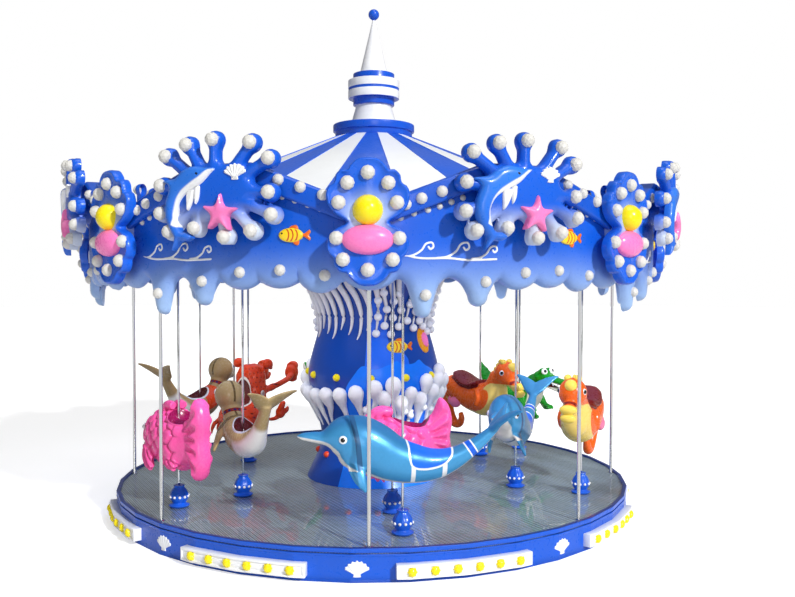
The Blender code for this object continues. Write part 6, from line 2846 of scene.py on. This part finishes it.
@dataclass
class Crab(Figure):
    """A crab with a tall pitted dome, eyes on stalks, block claws and open claws."""

    kind: str = "crab"
    kept: float = 0.75
    hollow: tuple[Point3, Point3] | None = ((-0.24, 0, 0.0), (0.165, 0.155, 0.225))

    def parts(self, bm: BMesh) -> None:
        """Dome, seat shell, stalks, arms and legs.

        Args:
            bm: Where the shape goes.
        """
        self.body(bm, [
            (0.06, 0, 0.318, 0.055, 0.060), (0.06, 0, 0.29, 0.125, 0.130), (0.06, 0, 0.20, 0.172, 0.165),
            (0.055, 0, 0.05, 0.190, 0.175), (0.04, 0, -0.12, 0.200, 0.185), (0.02, 0, -0.26, 0.185, 0.19),
            (0.0, 0, -0.36, 0.12, 0.14)], 28)
        self.body(bm, [(0.12, 0, -0.24, 0.16, 0.13), (-0.02, 0, -0.25, 0.232, 0.19),
                       (-0.20, 0, -0.27, 0.25, 0.19), (-0.34, 0, -0.29, 0.20, 0.155),
                       (-0.43, 0, -0.30, 0.12, 0.11), (-0.47, 0, -0.30, 0.03, 0.04)], 28)
        for side in (-1, 1):
            self.body(bm, [
                (0.09, side * 0.10, 0.22, 0.026, 0.026), (0.10, side * 0.165, 0.265, 0.022, 0.022),
                (0.11, side * 0.200, 0.30, 0.022, 0.022)], 12)
            self.ball(bm, (0.11, side * 0.205, 0.322), (0.062, 0.062, 0.062))
            self.body(bm, [
                (0.13, side * 0.15, 0.0, 0.048, 0.048), (0.30, side * 0.225, 0.05, 0.036, 0.036),
                (0.48, side * 0.262, 0.10, 0.036, 0.036), (0.60, side * 0.245, 0.14, 0.040, 0.040)], 14)
            self.ball(bm, (0.675, side * 0.215, 0.165), (0.105, 0.080, 0.100))
            self.body(bm, [
                (0.66, side * 0.220, 0.235, 0.070, 0.060), (0.75, side * 0.200, 0.245, 0.066, 0.056),
                (0.815, side * 0.180, 0.200, 0.040, 0.034), (0.83, side * 0.172, 0.165, 0.016, 0.016)], 14)
            self.body(bm, [
                (0.66, side * 0.220, 0.100, 0.066, 0.055), (0.74, side * 0.200, 0.085, 0.056, 0.046),
                (0.795, side * 0.182, 0.115, 0.030, 0.026), (0.80, side * 0.178, 0.140, 0.014, 0.014)], 14)
            ahead = 0.095 if side < 0 else 0.0
            self.body(bm, [(0.03, side * 0.16, -0.29, 0.042, 0.042),
                           (0.03 + ahead / 2, side * 0.24, -0.335, 0.026, 0.026),
                           (0.04 + ahead, side * 0.29, -0.335, 0.026, 0.026),
                           (0.07 + ahead, side * 0.315, -0.31, 0.034, 0.034)], 12)
            self.ball(bm, (0.08 + ahead, side * 0.340, -0.265), (0.056, 0.062, 0.072))
            self.body(bm, [(0.055 + ahead, side * 0.350, -0.225, 0.040, 0.038),
                           (0.055 + ahead, side * 0.385, -0.160, 0.036, 0.034),
                           (0.065 + ahead, side * 0.410, -0.125, 0.016, 0.016)], 12)
            self.body(bm, [(0.105 + ahead, side * 0.362, -0.265, 0.036, 0.034),
                           (0.125 + ahead, side * 0.400, -0.235, 0.030, 0.028),
                           (0.120 + ahead, side * 0.420, -0.190, 0.013, 0.013)], 12)
            for k in range(3):
                x = -0.08 - 0.12 * k
                self.body(bm, [
                    (x, side * 0.18, -0.30, 0.034, 0.034), (x - 0.02, side * 0.25, -0.35, 0.026, 0.026),
                    (x - 0.04, side * 0.275, -0.42, 0.020, 0.020),
                    (x - 0.05, side * 0.27, -0.48, 0.010, 0.010)], 10)

    @staticmethod
    def pits(p: Array) -> Array:
        """How far inside one of the dome's round pits a point is.

        Args:
            p: The points, a row each.

        Returns:
            One distance for each point.
        """
        row = np.round(p[:, 2] / 0.055)
        turn = np.arctan2(p[:, 1], p[:, 0] - 0.05) * 0.185 / 0.060 + 0.5 * (row % 2) + 0.17 * np.sin(2.1
                                                                                                     * row)
        up = p[:, 2] - row * 0.055 - 0.006 * np.sin(5 * turn)
        return 0.0085 - np.hypot((turn - np.round(turn)) * 0.060, up)

    def sculpt(self, p: Array, normals: Array) -> Array:
        """Low knobs and pits, and the seat's hollow.

        Args:
            p: The points, a row each.
            normals: The way out of the skin at each point.

        Returns:
            The moved points.
        """
        x, y, z = p.T
        swell = np.sin(41 * x + 1.3) * np.sin(43 * y) + np.sin(39 * z + 0.7) * np.sin(37 * y + 2)
        dome = (np.abs(p[:, 1]) < 0.26) & (p[:, 0] < 0.32)
        pits = np.clip((self.pits(p) + 0.004) / 0.008, 0, 1)
        return self.scooped(p + normals * ((0.0042 * swell - 0.006 * pits) * dome)[:, None], normals)

    def paint(self, p: Array) -> dict[str, Array]:
        """The seat's lining with its pale rim, and dark pits.

        Args:
            p: The points, a row each.

        Returns:
            The distances by their attribute's name.
        """
        seat = (1.01 - self.seat_reach(p)) * 0.17
        dome = (np.abs(p[:, 1]) < 0.26) & (p[:, 0] < 0.32)
        return {"seat_rim": np.where(p[:, 0] < -0.10, seat + 0.022, seat), "seat": seat,
                "pits": np.where(dome, self.pits(p), -1.0)}

    def details(self) -> list[Detail]:
        """Ringed side eyes."""
        return eyes((0.005, 0.194, -0.020), (0.005, 0.200, -0.020), (0.036, 0.024), (-0.1, 1, 0.0), 0.35,
                    (Finishes.ring_white, Finishes.crab))


class Kind(Enum):
    """The six kinds of figure."""

    DOLPHIN = "dolphin"
    TAN_DOLPHIN = "tan_dolphin"
    FISH = "fish"
    SEAHORSE = "seahorse"
    CROCODILE = "crocodile"
    CRAB = "crab"


@dataclass
class Riders:
    """The twelve figures on their poles."""

    pole_radius: float = 0.0115
    pole_low: float = -0.93
    pole_high: float = 1.55

    def seats(self) -> list[tuple[str, Kind, float, float, float, Finish]]:
        """Name, kind, angle, circle, seat height and finish.

        Returns:
            One row for each figure.
        """
        blue, tan, tan_far = Finishes.dolphin_blue, Finishes.dolphin_tan, Finishes.dolphin_tan_far
        fish, sea, croc, crab = Finishes.pink_fish, Finishes.seahorse, Finishes.crocodile, Finishes.crab
        return [("dolphin_1", Kind.DOLPHIN, 7, OUTER_CIRCLE, 1.15, blue),
                ("seahorse_1", Kind.SEAHORSE, 67, OUTER_CIRCLE, 1.20, sea),
                ("crocodile_1", Kind.CROCODILE, 127, OUTER_CIRCLE, 1.14, croc),
                ("crab_1", Kind.CRAB, 187, OUTER_CIRCLE, 1.12, crab),
                ("dolphin_2", Kind.TAN_DOLPHIN, 247, OUTER_CIRCLE, 1.28, tan_far),
                ("fish_1", Kind.FISH, 307, OUTER_CIRCLE, 1.13, fish),
                ("fish_2", Kind.FISH, 7, INNER_CIRCLE, 1.11, fish),
                ("dolphin_3", Kind.DOLPHIN, 67, INNER_CIRCLE, 1.14, blue),
                ("seahorse_2", Kind.SEAHORSE, 127, INNER_CIRCLE, 1.16, sea),
                ("crocodile_2", Kind.CROCODILE, 187, INNER_CIRCLE, 1.18, croc),
                ("crab_2", Kind.CRAB, 247, INNER_CIRCLE, 1.12, crab),
                ("dolphin_4", Kind.TAN_DOLPHIN, 307, INNER_CIRCLE, 1.22, tan)]

    def build(self) -> None:
        """Each figure with its pole."""
        makers = {Kind.DOLPHIN: Dolphin(), Kind.TAN_DOLPHIN: TanDolphin(), Kind.FISH: ScaledFish(),
                  Kind.SEAHORSE: Seahorse(), Kind.CROCODILE: Crocodile(), Kind.CRAB: Crab()}
        for name, kind, degrees, circle, seat, look in self.seats():
            makers[kind].ride(name, degrees, circle, seat, look)
            bm = bmesh.new()
            low, high = seat + self.pole_low, seat + self.pole_high
            profile = [(0.0, low), (self.pole_radius, low), (self.pole_radius, high), (0.0, high)]
            lathe(bm, eased(profile, 0.002), 20)
            bmesh.ops.translate(bm, vec=place(math.radians(degrees), circle), verts=bm.verts)
            add_piece(f"{name}_pole", bm, [Finishes.steel], f"ride_{name}", [f"pole_{name}"], 35)


@dataclass
class Studio:
    """The floor, the soft lights and the camera."""

    lens: float = 39.57
    sensor: float = 36.0
    eye: Point3 = (0.139, -9.861, 2.537)
    turn: Point3 = (88.340, -0.064, -0.752)
    floor_radius: float = 60.0
    floor_glow: float = 0.54
    key_strength: float = 2.95
    key_spread: float = 3.0
    key_azimuth: float = 38.0
    key_height: float = 30.0
    fill_strength: float = 0.40
    fill_spread: float = 20.0
    fill_azimuth: float = 4.0
    fill_height: float = 10.0
    top_strength: float = 0.7
    top_spread: float = 30.0
    top_height: float = 78.0
    lamps: int = 6
    lamp_power: float = 18.0
    lamp_size: float = 1.3
    lamp_place: Point = (1.95, 2.46)
    sky_strength: float = 0.21

    def build_floor(self) -> None:
        """A wide pale disc at ground level."""
        bm = bmesh.new()
        bmesh.ops.create_circle(bm, segments=128, radius=self.floor_radius, cap_ends=True)
        bmesh.ops.translate(bm, vec=(0, 0, -0.0005), verts=bm.verts)
        mesh = kept_mesh(bm, "floor")
        obj = bpy.data.objects.new("studio_floor", mesh)
        link(obj)
        look = bpy.data.materials.new("studio_floor")
        look.use_nodes = True
        graph = Graph(look.node_tree)
        shader = look.node_tree.nodes["Principled BSDF"]
        tone = graph.remap(graph.noise(graph.object_point(), 0.6, 3.0), 0.3, 0.7)
        graph.feed(shader.inputs["Base Color"], graph.mix(tone, (0.80, 0.80, 0.80), (0.84, 0.84, 0.84)))
        shader.inputs["Roughness"].default_value = 0.85
        shader.inputs["Emission Color"].default_value = (1, 1, 1, 1)
        seen = graph.add("ShaderNodeLightPath").outputs["Is Camera Ray"]
        graph.feed(shader.inputs["Emission Strength"], graph.remap(seen, 0.0, 1.0, 0.0, self.floor_glow))
        mesh.materials.append(look)

    def build_lights(self) -> None:
        """A key from the front right, a soft fill, lamps under the canopy and a pale surround."""
        for name, strength, spread, azimuth, height in (
                ("key", self.key_strength, self.key_spread, self.key_azimuth, self.key_height),
                ("fill", self.fill_strength, self.fill_spread, self.fill_azimuth, self.fill_height),
                ("top", self.top_strength, self.top_spread, self.key_azimuth, self.top_height)):
            sun = bpy.data.lights.new(name, "SUN")
            sun.energy = strength
            sun.angle = math.radians(spread)
            far = bpy.data.objects.new(name, sun)
            far.rotation_euler = (math.radians(90 - height), 0, math.radians(azimuth))
            link(far)
        for k in range(self.lamps):
            lamp = bpy.data.lights.new("canopy_lamp", "AREA")
            lamp.shape = "DISK"
            lamp.size = self.lamp_size
            lamp.energy = self.lamp_power
            under = bpy.data.objects.new(f"canopy_lamp_{k}", lamp)
            under.location = place(math.tau * (k + 0.5) / self.lamps, *self.lamp_place)
            under.visible_glossy = False
            link(under)
        world = bpy.data.worlds.new("studio")
        world.use_nodes = True
        graph = Graph(world.node_tree)
        ground = world.node_tree.nodes["Background"]
        ground.inputs["Color"].default_value = (1, 1, 1, 1)
        seen = graph.add("ShaderNodeLightPath").outputs["Is Camera Ray"]
        graph.feed(ground.inputs["Strength"], graph.remap(seen, 0.0, 1.0, self.sky_strength, 1.0))
        bpy.context.scene.world = world

    def build_camera(self) -> None:
        """The camera at the photograph's viewing angle."""
        data = bpy.data.cameras.new("camera")
        data.lens = self.lens
        data.sensor_width = self.sensor
        camera = bpy.data.objects.new("camera", data)
        camera.location = self.eye
        camera.rotation_euler = [math.radians(a) for a in self.turn]
        link(camera)
        bpy.context.scene.camera = camera

    def build(self) -> None:
        """Camera first, then the lights and the floor."""
        self.build_camera()
        self.build_lights()
        self.build_floor()
        bpy.context.scene.view_settings.view_transform = "Standard"


def main() -> None:
    """Builds the stage and every sub-assembly."""
    logging.basicConfig(level=logging.INFO, format="%(message)s")
    for assembly in (Studio(), Skirt(), Deck(), Posts(), Column(), Roof(), Spire(), Frieze(), Riders()):
        LOG.info("building %s", type(assembly).__name__)
        assembly.build()


if __name__ == "__main__":
    main()
